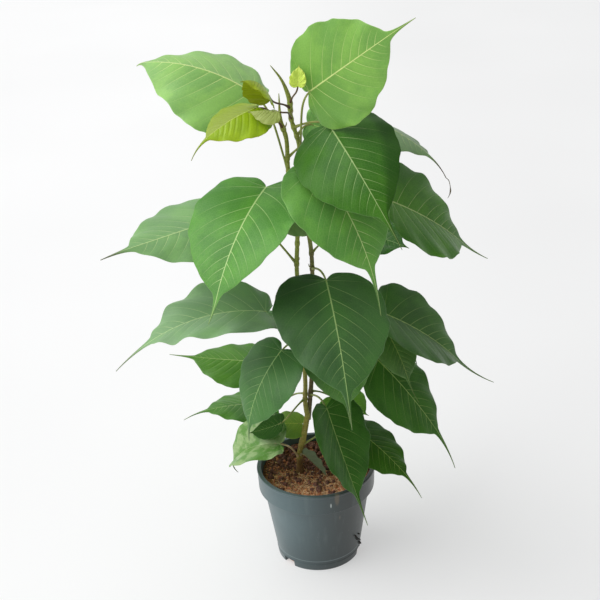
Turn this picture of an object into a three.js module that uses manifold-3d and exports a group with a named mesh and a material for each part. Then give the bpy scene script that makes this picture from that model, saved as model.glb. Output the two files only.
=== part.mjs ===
// A young bodhi tree (Ficus religiosa) in a plastic nursery pot, in millimetres, +Z up.
// The origin is the centre of the pot's flat underside, and -Y is the plant's front.

import * as THREE from "three";
import { mergeVertices } from "three/addons/utils/BufferGeometryUtils.js";
import Module from "manifold-3d";

const wasm = await Module();
wasm.setup();

// ---------------------------------------------------------------- driving dimensions

const pot = {
  height: 110,
  rimRadius: 65,
  collarHeight: 24, // the wide band under the rim
  collarStep: 5.3, // how far the band stands out from the wall
  collarTaper: 1.2, // how much narrower the band is at its foot
  lipHeight: 2.4, // the bead round the rim
  lipStep: 0.6,
  bevel: 0.8,
  footRadius: 45.5,
  footBand: 8, // the band round the foot, a little wider than the wall
  footStep: 0.5,
  wall: 1.8,
  floor: 2.5,
  draft: 3.7, // how much wider the inside is at the rim than the wall's line would make it
  sides: 40,
  notchAngles: [-47, 73, 193], // drainage notches round the foot, from the front towards +X
  notchWidth: 15,
  notchHeight: 7.5,
  notchDepth: 7,
  drainRadius: 4,
  drainCircle: 27, // radius of the circle of drainage holes
  drains: 6,
  drainSides: 12,
};

const soil = {
  belowRim: 8,
  gap: 0.4,
  rings: 6,
  sink: 1.4, // how far the middle of the top lies under its rim and its foot of trunk
  lump: 1.1, // height of the lumps of coir
  lumpSize: 20, // from one lump to the next
  flatRound: 16, // stays level this far round the trunk
};

const wood = {
  gap: 0.4, // between a limb and what grows on it
  trunkRadius: 3.2,
  flare: 1.5, // how much wider the foot of the trunk is
  flareShare: 0.2, // of the trunk's length
  forkHeight: 176,
  forkLength: 12, // from the fork to where the two stems start
  forkDip: 3, // how deep the stubs of the fork start inside the trunk
  stemRadius: 2.4,
  stemTop: 2, // radius under the bud
  budRadius: 0.45,
  budStart: 0.86, // by the stem's length
  sides: 8,
};

const leaf = {
  thickness: 1.8,
  petioleRadius: 1.35,
  petioleSides: 5,
  petioleSteps: 6,
  petioleOut: 0.4, // how far along its reach a petiole starts to turn to the leaf
  petioleRise: 0.12, // how far it rises above the straight line there, by its reach
  petioleTurn: 0.25, // how far ahead of the blade it lines up with the midrib
  anchor: 5, // the petiole's end runs this far into the blade
  anchorRadius: 0.65,
  rowsLobe: 4, // rows of faces from the notch at the base to the widest place
  rowsBody: 5, // from there to the neck
  rowsTip: 2, // along the drip tip
  columns: 2, // faces from the midrib to the margin
};

// Centre lines of the limbs, from the soil up.
const soilTop = pot.height - soil.belowRim;
const trunkLine = [[-18, 0, soilTop + wood.gap], [-17, 0, 124], [-12, 0, 146], [-6, 0.5, wood.forkHeight]];
const leftLine = [
  [-8.5, -1.5, wood.forkHeight + wood.forkLength], [-7.5, -2.5, 215], [-9, -1, 280], [-11, 1.5, 345],
  [-9, 3.5, 385], [-15, 5, 450], [-15.5, 5, 482], [-20, 5, 500], [-20.5, 5, 527],
];
const rightLine = [
  [-3.5, 2.5, wood.forkHeight + wood.forkLength], [0, 3, 225], [3.5, 1, 300], [4.5, -1, 360],
  [1.5, -2.5, 395], [-3.5, -3, 478], [-10, -3, 505], [-10.5, -3, 522], [-17, -4, 542], [-27, -5, 557],
];

// One row for each leaf:
// name, limb it grows on, height of its joint on the limb, where the blade starts [x, y, z],
// heading (0 to the front, 90 to the right), pitch below level and roll at the blade's base,
// body length, width for each length, drip tip for each length,
// droop along the midrib, fold of each half upwards, bend of the tip, tone.
const leaves = [
  ["leaf_top_right", "right", 472, [8, -30, 537], 50, -35, -90, 108, 0.9, 0.27, 4, -4, 15, "fresh"],
  ["leaf_top_left", "left", 448, [-42, 3, 526], -91, -39, 23, 116, 1.12, 0.08, 48, -18, 40, "fresh"],
  ["leaf_young_yellow", "left", 492, [-40, -30, 524], -46, 0, 18, 64, 0.86, 0.38, 30, -18, 45, "young"],
  ["leaf_young_olive", "right", 514, [-28, -29, 531], -44, -70, 1, 43, 1.02, 0.1, 66, -36, 0, "olive"],
  ["leaf_behind_top", "right", 486, [7, 10, 494], 95, 20, -65, 48, 0.92, 0.28, 30, 8, 16, "deep"],
  ["leaf_upper_front", "right", 495, [25, -31, 505], 18, 14, -25, 114, 0.9, 0.3, 50, -16, 20, "middle"],
  ["leaf_upper_low", "right", 430, [13, -38, 467], 36, 30, -13, 114, 0.88, 0.46, 50, -2, 19, "middle"],
  ["leaf_left_front", "left", 420, [-37, -13, 439], -31, 18, -5, 127, 0.94, 0.22, 36, 5, -15, "middle"],
  ["leaf_left_far", "left", 350, [-70, 17, 402], -55, 2, 12, 123, 0.93, 0.25, 0, -8, 7, "middle"],
  ["leaf_centre", "right", 345, [17, -50, 354], 9, 26, 5, 123, 0.92, 0.28, 20, -8, 3, "deep"],
  ["leaf_left_level", "left", 276, [-44, -27, 311], -74, -17, 4, 125, 0.86, 0.35, 47, 7, 14, "middle"],
  ["leaf_low_left_bright", "left", 235, [-53, 15, 232], -99, 0, 16, 75, 0.92, 0.34, -6, -12, 0, "bright"],
  ["leaf_low_left_front", "left", 262, [-30, -45, 276], -56, 38, 7, 86, 0.93, 0.24, 45, -6, 13, "deep"],
  ["leaf_low_left_back", "left", 200, [-49, 58, 154], -72, -16, 2, 74, 0.92, 0.36, 19, -7, 22, "middle"],
  ["leaf_foot_pale", "trunk", 118, [-38, -26, 154], -101, 2, 23, 74, 0.92, 0.25, 70, 25, 50, "pale"],
  ["leaf_foot_dark", "left", 194, [-35, -26, 179], -119, 33, 33, 40, 0.75, 0.14, -12, 1, 12, "deep"],
  ["leaf_foot_behind", "trunk", 140, [-13, 12, 154], -85, -10, 20, 42, 0.92, 0.3, 15, -6, 20, "bright"],
  ["leaf_low_right_front", "right", 196, [13, -45, 206], 32, 60, 22, 95, 0.92, 0.34, -3, 14, 0, "deep"],
  ["leaf_low_right_side", "trunk", 134, [42, -5, 157], 50, 17, 2, 77, 0.93, 0.38, 19, -8, 19, "deep"],
  ["leaf_right_lower", "right", 235, [69, -8, 240], 69, 43, -11, 103, 0.93, 0.46, 16, -4, 17, "deep"],
  ["leaf_right_middle", "right", 300, [76, -8, 294], 98, 29, -23, 108, 0.86, 0.52, 24, 10, -24, "deep"],
  ["leaf_right_between", "right", 268, [78, -11, 276], 36, 40, -6, 55, 0.92, 0.5, 28, 4, -30, "deep"],
  ["leaf_right_withered", "left", 462, [61, 60, 484], 56, 9, 10, 85, 0.9, 0.32, 23, -14, 24, "middle"],
  ["leaf_right_upper", "right", 395, [86, -2, 414], 118, 30, -40, 118, 0.9, 0.43, 17, 6, -13, "middle"],
  ["leaf_right_behind", "right", 362, [44, 63, 358], 34, -14, -40, 80, 0.92, 0.1, 25, 7, 19, "deep"],
  ["leaf_centre_behind", "right", 292, [22, -22, 294], 12, 50, -11, 86, 0.9, 0.26, 27, 8, 23, "deep"],
  ["leaf_small_bright", "right", 200, [21, 22, 181], 44, 2, -12, 48, 1.05, 0.12, 3, 4, -3, "bright"],
  ["leaf_foot_folded", "trunk", 120, [-13, -7, 128], 60, 34, 60, 34, 0.6, 0.1, 5, 40, 0, "grey"],
  ["leaf_middle_dark", "left", 396, [-20, -14, 410], 82, 12, -68, 42, 0.9, 0.28, 10, 4, 10, "deep"],
  ["leaf_newest", "right", 519, [-2, -34, 544], 165, -75, 0, 17, 1, 0.15, 10, 18, 0, "young"],
  ["leaf_back_top", "right", 470, [48, 64, 464], 165, 35, 0, 92, 0.92, 0.3, 30, -6, 15, "middle"],
  ["leaf_back_left", "left", 410, [-46, 50, 382], -150, 40, 0, 80, 0.92, 0.3, 30, -6, 15, "middle"],
  ["leaf_back_upper", "left", 372, [8, 66, 406], 172, 38, 0, 78, 0.92, 0.3, 30, -6, 15, "middle"],
  ["leaf_back_centre", "right", 318, [14, 62, 296], 178, 40, 0, 96, 0.92, 0.3, 28, -6, 15, "deep"],
  ["leaf_back_right", "right", 262, [78, 36, 270], 108, 42, 0, 66, 0.92, 0.3, 28, -6, 15, "deep"],
  ["leaf_back_low", "right", 222, [20, 52, 236], 170, 45, 0, 80, 0.92, 0.3, 28, -6, 15, "deep"],
  ["leaf_young_pale", "right", 504, [-21, -51, 525], -98, -7, 21, 26, 0.97, 0.12, 15, -32, 0, "soft"],
];

const tones = {
  fresh: "#6f9f4a",
  middle: "#4f8541",
  deep: "#2f5f2e",
  bright: "#558f35",
  young: "#98b51d",
  olive: "#77781f",
  pale: "#86a95f",
  grey: "#6e8266",
  soft: "#9aa85e",
};

// ---------------------------------------------------------------- solids and meshes

function toSolid(geometry) {
  geometry.deleteAttribute("normal");
  geometry.deleteAttribute("uv");
  const merged = mergeVertices(geometry, 1e-4);
  const corners = merged.index.array;
  const kept = [];
  for (let i = 0; i < corners.length; i += 3) {
    const [a, b, c] = corners.slice(i, i + 3);
    if (a !== b && b !== c && c !== a) kept.push(a, b, c);
  }
  const vertProperties = Float32Array.from(merged.attributes.position.array);
  return new wasm.Manifold(new wasm.Mesh({ numProp: 3, vertProperties, triVerts: Uint32Array.from(kept) }));
}

function toMesh(name, solid, color, roughness) {
  const result = solid.getMesh();
  const geometry = new THREE.BufferGeometry();
  geometry.setAttribute("position", new THREE.BufferAttribute(Float32Array.from(result.vertProperties), 3));
  geometry.setIndex(new THREE.BufferAttribute(Uint32Array.from(result.triVerts), 1));
  geometry.computeVertexNormals();
  const material = new THREE.MeshStandardMaterial({ color, roughness, metalness: 0 });
  const mesh = new THREE.Mesh(geometry, material);
  mesh.name = name;
  return mesh;
}

// Turns a grid of points, rows by columns, with two sides into one closed shell.
function shell(top, bottom) {
  const rows = top.length;
  const columns = top[0].length;
  const points = [];
  const faces = [];
  const quad = (a, b, c, d) => faces.push(a, b, c, a, c, d);
  for (const point of [...top.flat(), ...bottom.flat()]) points.push(point.x, point.y, point.z);
  const up = (i, j) => i * columns + j;
  const down = (i, j) => rows * columns + i * columns + j;
  for (let i = 0; i < rows - 1; i++) {
    for (let j = 0; j < columns - 1; j++) {
      quad(up(i, j), up(i, j + 1), up(i + 1, j + 1), up(i + 1, j));
      quad(down(i, j), down(i + 1, j), down(i + 1, j + 1), down(i, j + 1));
    }
    quad(up(i, 0), up(i + 1, 0), down(i + 1, 0), down(i, 0));
    quad(up(i, columns - 1), down(i, columns - 1), down(i + 1, columns - 1), up(i + 1, columns - 1));
  }
  for (let j = 0; j < columns - 1; j++) {
    quad(up(0, j), down(0, j), down(0, j + 1), up(0, j + 1));
    quad(up(rows - 1, j), up(rows - 1, j + 1), down(rows - 1, j + 1), down(rows - 1, j));
  }
  const geometry = new THREE.BufferGeometry();
  geometry.setAttribute("position", new THREE.BufferAttribute(Float32Array.from(points), 3));
  geometry.setIndex(faces);
  return geometry;
}

// A tapering tube along a curve, closed by a flat cut at each end.
function limb(curve, steps, sides, radiusAt) {
  const frames = curve.computeFrenetFrames(steps);
  const points = [];
  const faces = [];
  for (let i = 0; i <= steps; i++) {
    const centre = curve.getPointAt(i / steps);
    for (let j = 0; j < sides; j++) {
      const angle = (2 * Math.PI * j) / sides;
      const point = centre.clone();
      point.addScaledVector(frames.normals[i], radiusAt(i / steps) * Math.cos(angle));
      point.addScaledVector(frames.binormals[i], radiusAt(i / steps) * Math.sin(angle));
      points.push(point.x, point.y, point.z);
    }
  }
  for (let i = 0; i < steps; i++) {
    for (let j = 0; j < sides; j++) {
      const a = i * sides + j;
      const b = i * sides + ((j + 1) % sides);
      faces.push(a, b, b + sides, a, b + sides, a + sides);
    }
  }
  const last = steps * sides;
  for (let j = 1; j < sides - 1; j++) {
    faces.push(0, j + 1, j);
    faces.push(last, last + j, last + j + 1);
  }
  const geometry = new THREE.BufferGeometry();
  geometry.setAttribute("position", new THREE.BufferAttribute(Float32Array.from(points), 3));
  geometry.setIndex(faces);
  return toSolid(geometry);
}

const largest = (solid) => solid.decompose().reduce((best, piece) => (piece.volume() > best.volume() ? piece : best));
const lerp = THREE.MathUtils.lerp;
const rad = THREE.MathUtils.degToRad;

// ---------------------------------------------------------------- pot and soil

const wallTopRadius = pot.rimRadius - pot.collarTaper - pot.collarStep;
const innerFloorRadius = pot.footRadius - pot.wall;
const innerRimRadius = wallTopRadius - pot.wall + pot.draft;
const wallRadius = (z) => lerp(pot.footRadius, wallTopRadius, z / (pot.height - pot.collarHeight));
const innerRadius = (z) => lerp(innerFloorRadius, innerRimRadius, (z - pot.floor) / (pot.height - pot.floor));

function lathe(outline, sides) {
  const points = outline.map(([radius, z]) => new THREE.Vector2(radius, z));
  return new THREE.LatheGeometry(points, sides).rotateX(Math.PI / 2);
}

function makePot() {
  const collarFoot = pot.height - pot.collarHeight;
  const footTop = pot.footBand + pot.bevel;
  const lipFoot = pot.height - pot.lipHeight;
  let solid = toSolid(lathe([
    [0, 0],
    [pot.footRadius + pot.footStep, 0],
    [wallRadius(pot.footBand) + pot.footStep, pot.footBand],
    [wallRadius(footTop), footTop],
    [wallRadius(collarFoot - pot.bevel), collarFoot - pot.bevel],
    [wallRadius(collarFoot) + pot.collarStep, collarFoot],
    [pot.rimRadius - pot.lipStep, lipFoot - pot.bevel],
    [pot.rimRadius, lipFoot],
    [pot.rimRadius, pot.height - pot.lipStep],
    [pot.rimRadius - pot.lipStep, pot.height],
    [innerRimRadius, pot.height],
    [innerFloorRadius, pot.floor],
    [0, pot.floor],
  ], pot.sides));
  for (const degrees of pot.notchAngles) {
    const notch = new THREE.BoxGeometry(2 * pot.notchDepth, pot.notchWidth, 2 * pot.notchHeight);
    notch.translate(pot.footRadius, 0, 0).rotateZ(rad(degrees - 90));
    solid = solid.subtract(toSolid(notch));
  }
  for (let i = 0; i < pot.drains; i++) {
    const drain = new THREE.CylinderGeometry(pot.drainRadius, pot.drainRadius, 3 * pot.floor, pot.drainSides);
    drain.rotateX(Math.PI / 2).translate(pot.drainCircle, 0, 0).rotateZ((2 * Math.PI * i) / pot.drains);
    solid = solid.subtract(toSolid(drain));
  }
  return solid;
}

function makeSoil() {
  const bottom = pot.floor + soil.gap;
  const edge = innerRadius(soilTop) - soil.gap;
  const outline = [[0, bottom], [innerRadius(bottom) - soil.gap, bottom], [edge, soilTop]];
  for (let i = soil.rings - 1; i >= 0; i--) outline.push([(edge * i) / soil.rings, soilTop]);
  const geometry = lathe(outline, pot.sides);
  const place = geometry.attributes.position;
  const [trunkX, trunkY] = trunkLine[0];
  const wave = (2 * Math.PI) / soil.lumpSize;
  for (let i = 0; i < place.count; i++) {
    const [x, y, z] = [place.getX(i), place.getY(i), place.getZ(i)];
    const inside = Math.hypot(x, y) < edge - 1 && z > soilTop - 1;
    const away = Math.hypot(x - trunkX, y - trunkY) - soil.flatRound;
    const lump = soil.lump * Math.sin(wave * x + 1) * Math.cos(wave * y);
    if (inside && away > 0) place.setZ(i, z - soil.sink + lump);
  }
  return toSolid(geometry);
}

// ---------------------------------------------------------------- trunk and stems

const curveThrough = (line) => new THREE.CatmullRomCurve3(line.map((point) => new THREE.Vector3(...point)));

// The trunk's two short branches, each of which ends just under its stem.
function forkLine([x, y, z]) {
  const [trunkX, trunkY, trunkZ] = trunkLine.at(-1);
  const low = [trunkX, trunkY, trunkZ - wood.forkDip];
  const high = [x, y, z - 2 * wood.gap];
  const middle = low.map((value, i) => lerp(value, high[i], 0.5));
  return [low, middle, high];
}

const limbs = {
  trunk: {
    curve: curveThrough(trunkLine),
    steps: 7,
    radius: (t) => wood.trunkRadius + wood.flare * Math.max(0, 1 - t / wood.flareShare) ** 2,
  },
  left: { curve: curveThrough(leftLine), steps: 18, radius: (t) => taper(t) },
  right: { curve: curveThrough(rightLine), steps: 20, radius: (t) => taper(t) },
};

// A stem keeps most of its thickness and narrows quickly to the slender bud at its end.
function taper(t) {
  const body = lerp(wood.stemRadius, wood.stemTop, t);
  return lerp(body, wood.budRadius, THREE.MathUtils.smoothstep(t, wood.budStart, 1));
}

function makeLimb({ curve, steps, radius }, extra = 0) {
  return limb(curve, steps, wood.sides, (t) => radius(t) + extra);
}

function makeTrunk() {
  let solid = makeLimb(limbs.trunk);
  for (const line of [forkLine(leftLine[0]), forkLine(rightLine[0])]) {
    solid = solid.add(limb(curveThrough(line), 3, wood.sides, () => wood.stemRadius));
  }
  return solid;
}

// ---------------------------------------------------------------- leaves

// Half of a leaf's outline, for a body one unit long: x is out from the midrib, y along it.
function margin(u, tip) {
  const at = (x, y) => new THREE.Vector2(x, y);
  const lobe = [at(0, 0), at(0.1, -0.16), at(0.46, -0.14), at(0.48, 0.25)];
  const side = [at(0.48, 0.25), at(0.5, 0.56), at(0.26, 0.84), at(0.06, 0.97)];
  const drip = [at(0.06, 0.97), at(0.02, 1.01), at(0.014, 1 + 0.5 * tip), at(0.004, 1 + tip)];
  const part = Math.min(Math.floor(u), 2);
  return new THREE.CubicBezierCurve(...[lobe, side, drip][part]).getPoint(u - part);
}

// Where the row of faces that ends at margin(u) starts on the midrib.
function ribStart(u, tip) {
  if (u < 1) return 0.06 * u;
  if (u < 2) return lerp(0.06, 0.93, u - 1);
  return lerp(0.93, 1 + tip, u - 2);
}

// The directions of a blade at its base: along the midrib, out to its right, and up from its face.
function bladeAxes({ heading, pitch, roll }) {
  const [h, p, r] = [rad(heading), rad(pitch), rad(roll)];
  const out = new THREE.Vector3(Math.sin(h), -Math.cos(h), 0);
  const up = new THREE.Vector3(0, 0, 1);
  const along = out.clone().multiplyScalar(Math.cos(p)).addScaledVector(up, -Math.sin(p));
  const face = out.clone().multiplyScalar(Math.sin(p)).addScaledVector(up, Math.cos(p));
  const side = along.clone().cross(face);
  return {
    along,
    side: side.clone().multiplyScalar(Math.cos(r)).addScaledVector(face, Math.sin(r)),
    face: face.clone().multiplyScalar(Math.cos(r)).addScaledVector(side, -Math.sin(r)),
  };
}

// The midrib is an arc that turns down by droop over the body and by bend over the drip tip,
// and each half is folded up from it.
function bladePoint(spec, axes, x, y, lift) {
  const droop = rad(spec.droop) + 1e-6;
  const bend = rad(spec.bend) / spec.tip + 1e-6;
  const body = THREE.MathUtils.clamp(y, 0, 1);
  const past = Math.max(0, y - 1);
  const turn = droop * body + bend * past;
  const ahead = Math.sin(droop * body) / droop + Math.min(y, 0) + (Math.sin(turn) - Math.sin(droop * body)) / bend;
  const below = (1 - Math.cos(droop * body)) / droop + (Math.cos(droop * body) - Math.cos(turn)) / bend;
  const across = x * (spec.width / 0.96) * Math.cos(rad(spec.fold));
  const height = Math.abs(x) * (spec.width / 0.96) * Math.sin(rad(spec.fold)) + lift / spec.length;
  const point = new THREE.Vector3(...spec.base);
  point.addScaledVector(axes.along, spec.length * (ahead + height * Math.sin(turn)));
  point.addScaledVector(axes.face, spec.length * (height * Math.cos(turn) - below));
  point.addScaledVector(axes.side, spec.length * across);
  return point;
}

function makeBlade(spec, axes) {
  const stops = [];
  for (const [from, rows] of [[0, leaf.rowsLobe], [1, leaf.rowsBody], [2, leaf.rowsTip]]) {
    for (let i = 0; i < rows; i++) stops.push(from + i / rows);
  }
  stops.push(3);
  const face = (lift) =>
    stops.map((u) => {
      const edge = margin(u, spec.tip);
      const start = ribStart(u, spec.tip);
      const row = [];
      for (let j = -leaf.columns; j <= leaf.columns; j++) {
        const v = Math.abs(j) / leaf.columns;
        row.push(bladePoint(spec, axes, Math.sign(j) * v * edge.x, lerp(start, edge.y, v), lift));
      }
      return row;
    });
  return toSolid(shell(face(leaf.thickness / 2), face(-leaf.thickness / 2)));
}

function pointAtHeight(curve, height) {
  let [low, high] = [0, 1];
  for (let i = 0; i < 30; i++) {
    const middle = (low + high) / 2;
    if (curve.getPointAt(middle).z < height) low = middle;
    else high = middle;
  }
  return curve.getPointAt(low);
}

function makePetiole(spec, axes) {
  const start = pointAtHeight(limbs[spec.limb].curve, spec.joint);
  const base = new THREE.Vector3(...spec.base);
  const reach = start.distanceTo(base);
  const leave = start.clone().lerp(base, leaf.petioleOut);
  leave.z += leaf.petioleRise * reach;
  const arrive = base.clone().addScaledVector(axes.along, -leaf.petioleTurn * reach);
  const end = base.clone().addScaledVector(axes.along, leaf.anchor);
  const curve = new THREE.CubicBezierCurve3(start, leave, arrive, end);
  const radius = (t) => (t < 1 ? leaf.petioleRadius : leaf.anchorRadius);
  return limb(curve, leaf.petioleSteps, leaf.petioleSides, radius);
}

function makeLeaf(spec) {
  const axes = bladeAxes(spec);
  const clear = makeLimb(limbs[spec.limb], wood.gap);
  return largest(makeBlade(spec, axes).add(makePetiole(spec, axes)).subtract(clear));
}

// ---------------------------------------------------------------- the plant

const plant = new THREE.Group();
plant.add(toMesh("pot", makePot(), "#4b5a5b", 0.45));
plant.add(toMesh("soil", makeSoil(), "#5c4030", 0.95));
plant.add(toMesh("trunk", makeTrunk(), "#73502f", 0.8));
plant.add(toMesh("stem_left", makeLimb(limbs.left), "#787d3c", 0.6));
plant.add(toMesh("stem_right", makeLimb(limbs.right), "#554b41", 0.7));
for (const row of leaves) {
  const [name, on, joint, base, heading, pitch, roll, length, width, tip, droop, fold, bend, tone] = row;
  const spec = { limb: on, joint, base, heading, pitch, roll, length, width, tip, droop, fold, bend };
  plant.add(toMesh(name, makeLeaf(spec), tones[tone], 0.5));
}

export default plant;
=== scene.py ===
import bpy
import numpy as np
from mathutils import Matrix, Vector


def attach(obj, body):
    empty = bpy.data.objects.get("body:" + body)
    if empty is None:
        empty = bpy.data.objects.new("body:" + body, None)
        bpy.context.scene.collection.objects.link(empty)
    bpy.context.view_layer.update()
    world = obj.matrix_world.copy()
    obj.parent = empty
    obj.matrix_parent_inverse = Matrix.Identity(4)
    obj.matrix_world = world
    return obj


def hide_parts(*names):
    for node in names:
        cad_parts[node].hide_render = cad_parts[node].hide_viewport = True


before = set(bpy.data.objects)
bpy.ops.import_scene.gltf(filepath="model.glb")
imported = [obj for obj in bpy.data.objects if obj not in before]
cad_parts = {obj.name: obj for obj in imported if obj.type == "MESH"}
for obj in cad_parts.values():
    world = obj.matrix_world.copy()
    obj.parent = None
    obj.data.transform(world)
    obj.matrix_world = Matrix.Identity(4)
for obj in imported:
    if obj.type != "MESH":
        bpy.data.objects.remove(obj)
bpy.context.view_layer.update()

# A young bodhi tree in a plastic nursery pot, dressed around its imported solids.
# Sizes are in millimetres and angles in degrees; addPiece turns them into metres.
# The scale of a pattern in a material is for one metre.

mm = 0.001
dice = np.random.default_rng(11)

view = {
    "place": (-9.2, -1114.7, 841.7),
    "aim": (-9.2, 0.0, 310.0),
    "angle": 28.07,  # field of view of the square frame
    "roll": 2.6,
    "reach": 60,  # metres
}


# A new object in the scene, with a camera, a lamp or a mesh for its data.
def linked(name, data):
    made = bpy.data.objects.new(name, data)
    bpy.context.scene.collection.objects.link(made)
    return made


# Looks from place to aim, rolled about that line.
def addCamera():
    camera = linked("camera", bpy.data.cameras.new("camera"))
    camera.data.angle = np.radians(view["angle"])
    camera.data.clip_end = view["reach"]
    place = Vector(view["place"]) * mm
    ahead = (Vector(view["aim"]) * mm - place).normalized()
    right = ahead.cross(Vector((0, 0, 1))).normalized()
    up = right.cross(ahead)
    rolled = Matrix.Rotation(-np.radians(view["roll"]), 3, "Z")
    towards = Matrix((right, up, -ahead)).transposed() @ rolled
    camera.matrix_world = Matrix.Translation(place) @ towards.to_4x4()
    bpy.context.scene.camera = camera


addCamera()
print("camera placed")


# Vectors divided by their own lengths.
def unit(vectors):
    return vectors / np.maximum(np.linalg.norm(vectors, axis=-1, keepdims=True), 1e-9)


# Faces of a grid of points, rows by columns, row after row; a closed grid joins its last column to its first.
def gridFaces(rows, columns, closed=False):
    i = np.arange(rows - 1)[:, None] * columns
    j = np.arange(columns if closed else columns - 1)[None, :]
    k = (j + 1) % columns
    return np.stack([i + j, i + k, i + columns + k, i + columns + j], -1).reshape(-1, 4)


# Twice the triangles' cross products summed against their first corners: positive when a closed shape faces out.
def facesOut(points, faces):
    a, b, c = (points[faces[:, k]] for k in range(3))
    total = np.einsum("ij,ij->", a, np.cross(b, c))
    if faces.shape[1] == 4:
        d = points[faces[:, 3]]
        total += np.einsum("ij,ij->", a, np.cross(c, d))
    return total


# points are in mm; groups are arrays of triangles or quads, each with its material's number. All the
# faces are turned over where they point inwards.
def addPiece(name, points, groups, materials, node=None, values=None, maps=None):
    if sum(facesOut(points, faces) for faces, _ in groups) < 0:
        groups = [(faces[:, ::-1], number) for faces, number in groups]
    mesh = bpy.data.meshes.new(name)
    corners = np.concatenate([faces.ravel() for faces, _ in groups]).astype(np.int32)
    sizes = np.concatenate([np.full(len(faces), faces.shape[1]) for faces, _ in groups])
    mesh.vertices.add(len(points))
    mesh.vertices.foreach_set("co", (points * mm).astype(np.float32).ravel())
    mesh.loops.add(len(corners))
    mesh.loops.foreach_set("vertex_index", corners)
    mesh.polygons.add(len(sizes))
    mesh.polygons.foreach_set("loop_start", (np.cumsum(sizes) - sizes).astype(np.int32))
    numbers = np.concatenate([np.full(len(faces), number) for faces, number in groups])
    mesh.polygons.foreach_set("material_index", numbers.astype(np.int32))
    mesh.polygons.foreach_set("use_smooth", np.full(len(sizes), True))
    mesh.update(calc_edges=True)
    for key, value in (values or {}).items():
        layer = mesh.attributes.new(key, "FLOAT", "POINT")
        layer.data.foreach_set("value", value.astype(np.float32))
    for key, value in (maps or {}).items():
        mesh.uv_layers.new(name=key).uv.foreach_set("vector", value[corners].astype(np.float32).ravel())
    for material in materials:
        mesh.materials.append(material)
    piece = linked(name, mesh)
    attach(piece, "root")
    if node:
        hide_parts(node)
    return piece


# Centripetal Catmull-Rom curve through the points of line, resampled to even steps of length.
def curveThrough(line, count):
    p = np.array(line, float)
    p = np.vstack([2 * p[0] - p[1], p, 2 * p[-1] - p[-2]])
    knot = np.sqrt(np.linalg.norm(np.diff(p, axis=0), axis=1))[:, None]
    before, here, there, after = p[:-3], p[1:-2], p[2:-1], p[3:]
    first, middle, last = knot[:-2], knot[1:-1], knot[2:]
    leave = ((here - before) / first - (there - before) / (first + middle) + (there - here) / middle) * middle
    arrive = ((there - here) / middle - (after - here) / (middle + last) + (after - there) / last) * middle
    t = np.linspace(0, 1, 40, endpoint=False)[:, None, None]
    dense = (
        here + leave * t + (3 * (there - here) - 2 * leave - arrive) * t**2
        + (2 * (here - there) + leave + arrive) * t**3
    )
    dense = np.vstack([dense.transpose(1, 0, 2).reshape(-1, 3), p[-2]])
    return evenly(dense, count)


# Points at equal distances along a dense path.
def evenly(dense, count):
    run = np.concatenate([[0], np.cumsum(np.linalg.norm(np.diff(dense, axis=0), axis=1))])
    at = np.linspace(0, run[-1], count)
    return np.stack([np.interp(at, run, dense[:, k]) for k in range(3)], -1)


# Cubic Bezier curve: (1-t)^3 a + 3t(1-t)^2 b + 3t^2(1-t) c + t^3 d.
def bezier(a, b, c, d, t):
    t = np.asarray(t)[..., None]
    return (1 - t) ** 3 * a + 3 * t * (1 - t) ** 2 * b + 3 * t * t * (1 - t) * c + t**3 * d


# Fans that close the first and last ring of a tube; their two middles come after all the rings.
def fans(rows, sides):
    j = np.arange(sides)
    k = (j + 1) % sides
    last = (rows - 1) * sides
    middle = np.full(sides, rows * sides)
    return np.vstack([np.stack([middle, k, j], -1), np.stack([middle + 1, last + j, last + k], -1)])


# Rings around a path: path + radius * (cos(angle) first + sin(angle) second), with a fan over each end.
# radius is one number for each ring, or for each point of each ring.
def tube(path, radius, sides, aside):
    along = unit(np.gradient(path, axis=0))
    aside = np.asarray(aside, float)
    first = unit(aside - (along @ aside)[:, None] * along)
    second = np.cross(along, first)
    angle = np.arange(sides) * 2 * np.pi / sides
    turn = np.cos(angle)[None, :, None] * first[:, None] + np.sin(angle)[None, :, None] * second[:, None]
    radius = np.broadcast_to(np.reshape(radius, (len(path), -1)), (len(path), sides))
    rings = (path[:, None] + radius[..., None] * turn).reshape(-1, 3)
    return np.vstack([rings, path[0], path[-1]]), gridFaces(len(path), sides, closed=True), fans(len(path), sides)


# Several tubes in one mesh: the faces of each are numbered on from the points of those before it.
def joinedTubes(paths, radii, sides, aside):
    made = [tube(path, radius, sides, aside) for path, radius in zip(paths, radii)]
    starts = np.cumsum([0] + [len(points) for points, _, _ in made])
    walls = np.vstack([wall + start for (_, wall, _), start in zip(made, starts)])
    caps = np.vstack([cap + start for (_, _, cap), start in zip(made, starts)])
    return np.vstack([points for points, _, _ in made]), [(walls, 0), (caps, 0)]


# A colour code as linear red, green and blue, and 1.
def tint(code):
    value = np.array([int(code[k:k + 2], 16) for k in (1, 3, 5)]) / 255
    linear = np.where(value <= 0.04045, value / 12.92, ((value + 0.055) / 1.055) ** 2.4)
    return (*linear, 1.0)


# A node with its settings, and with each input set to a value or linked to another node's output.
def add(tree, kind, settings, inputs):
    node = tree.nodes.new("ShaderNode" + kind)
    for key, value in settings.items():
        setattr(node, key, value)
    for key, value in inputs.items():
        if isinstance(value, bpy.types.NodeSocket):
            tree.links.new(value, node.inputs[key])
        else:
            node.inputs[key].default_value = value
    return node


# A material whose main shader has some fixed values.
def startMaterial(name, fixed):
    material = bpy.data.materials.new(name)
    material.use_nodes = True
    shader = material.node_tree.nodes["Principled BSDF"]
    for key, value in fixed.items():
        shader.inputs[key].default_value = value
    return material, material.node_tree, shader


# The first colour where share is 0, the second where it is 1.
def mixed(tree, share, first, second, blend="MIX"):
    node = add(tree, "Mix", {"data_type": "RGBA", "blend_type": blend}, {0: share, 6: first, 7: second})
    return node.outputs[2]


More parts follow.
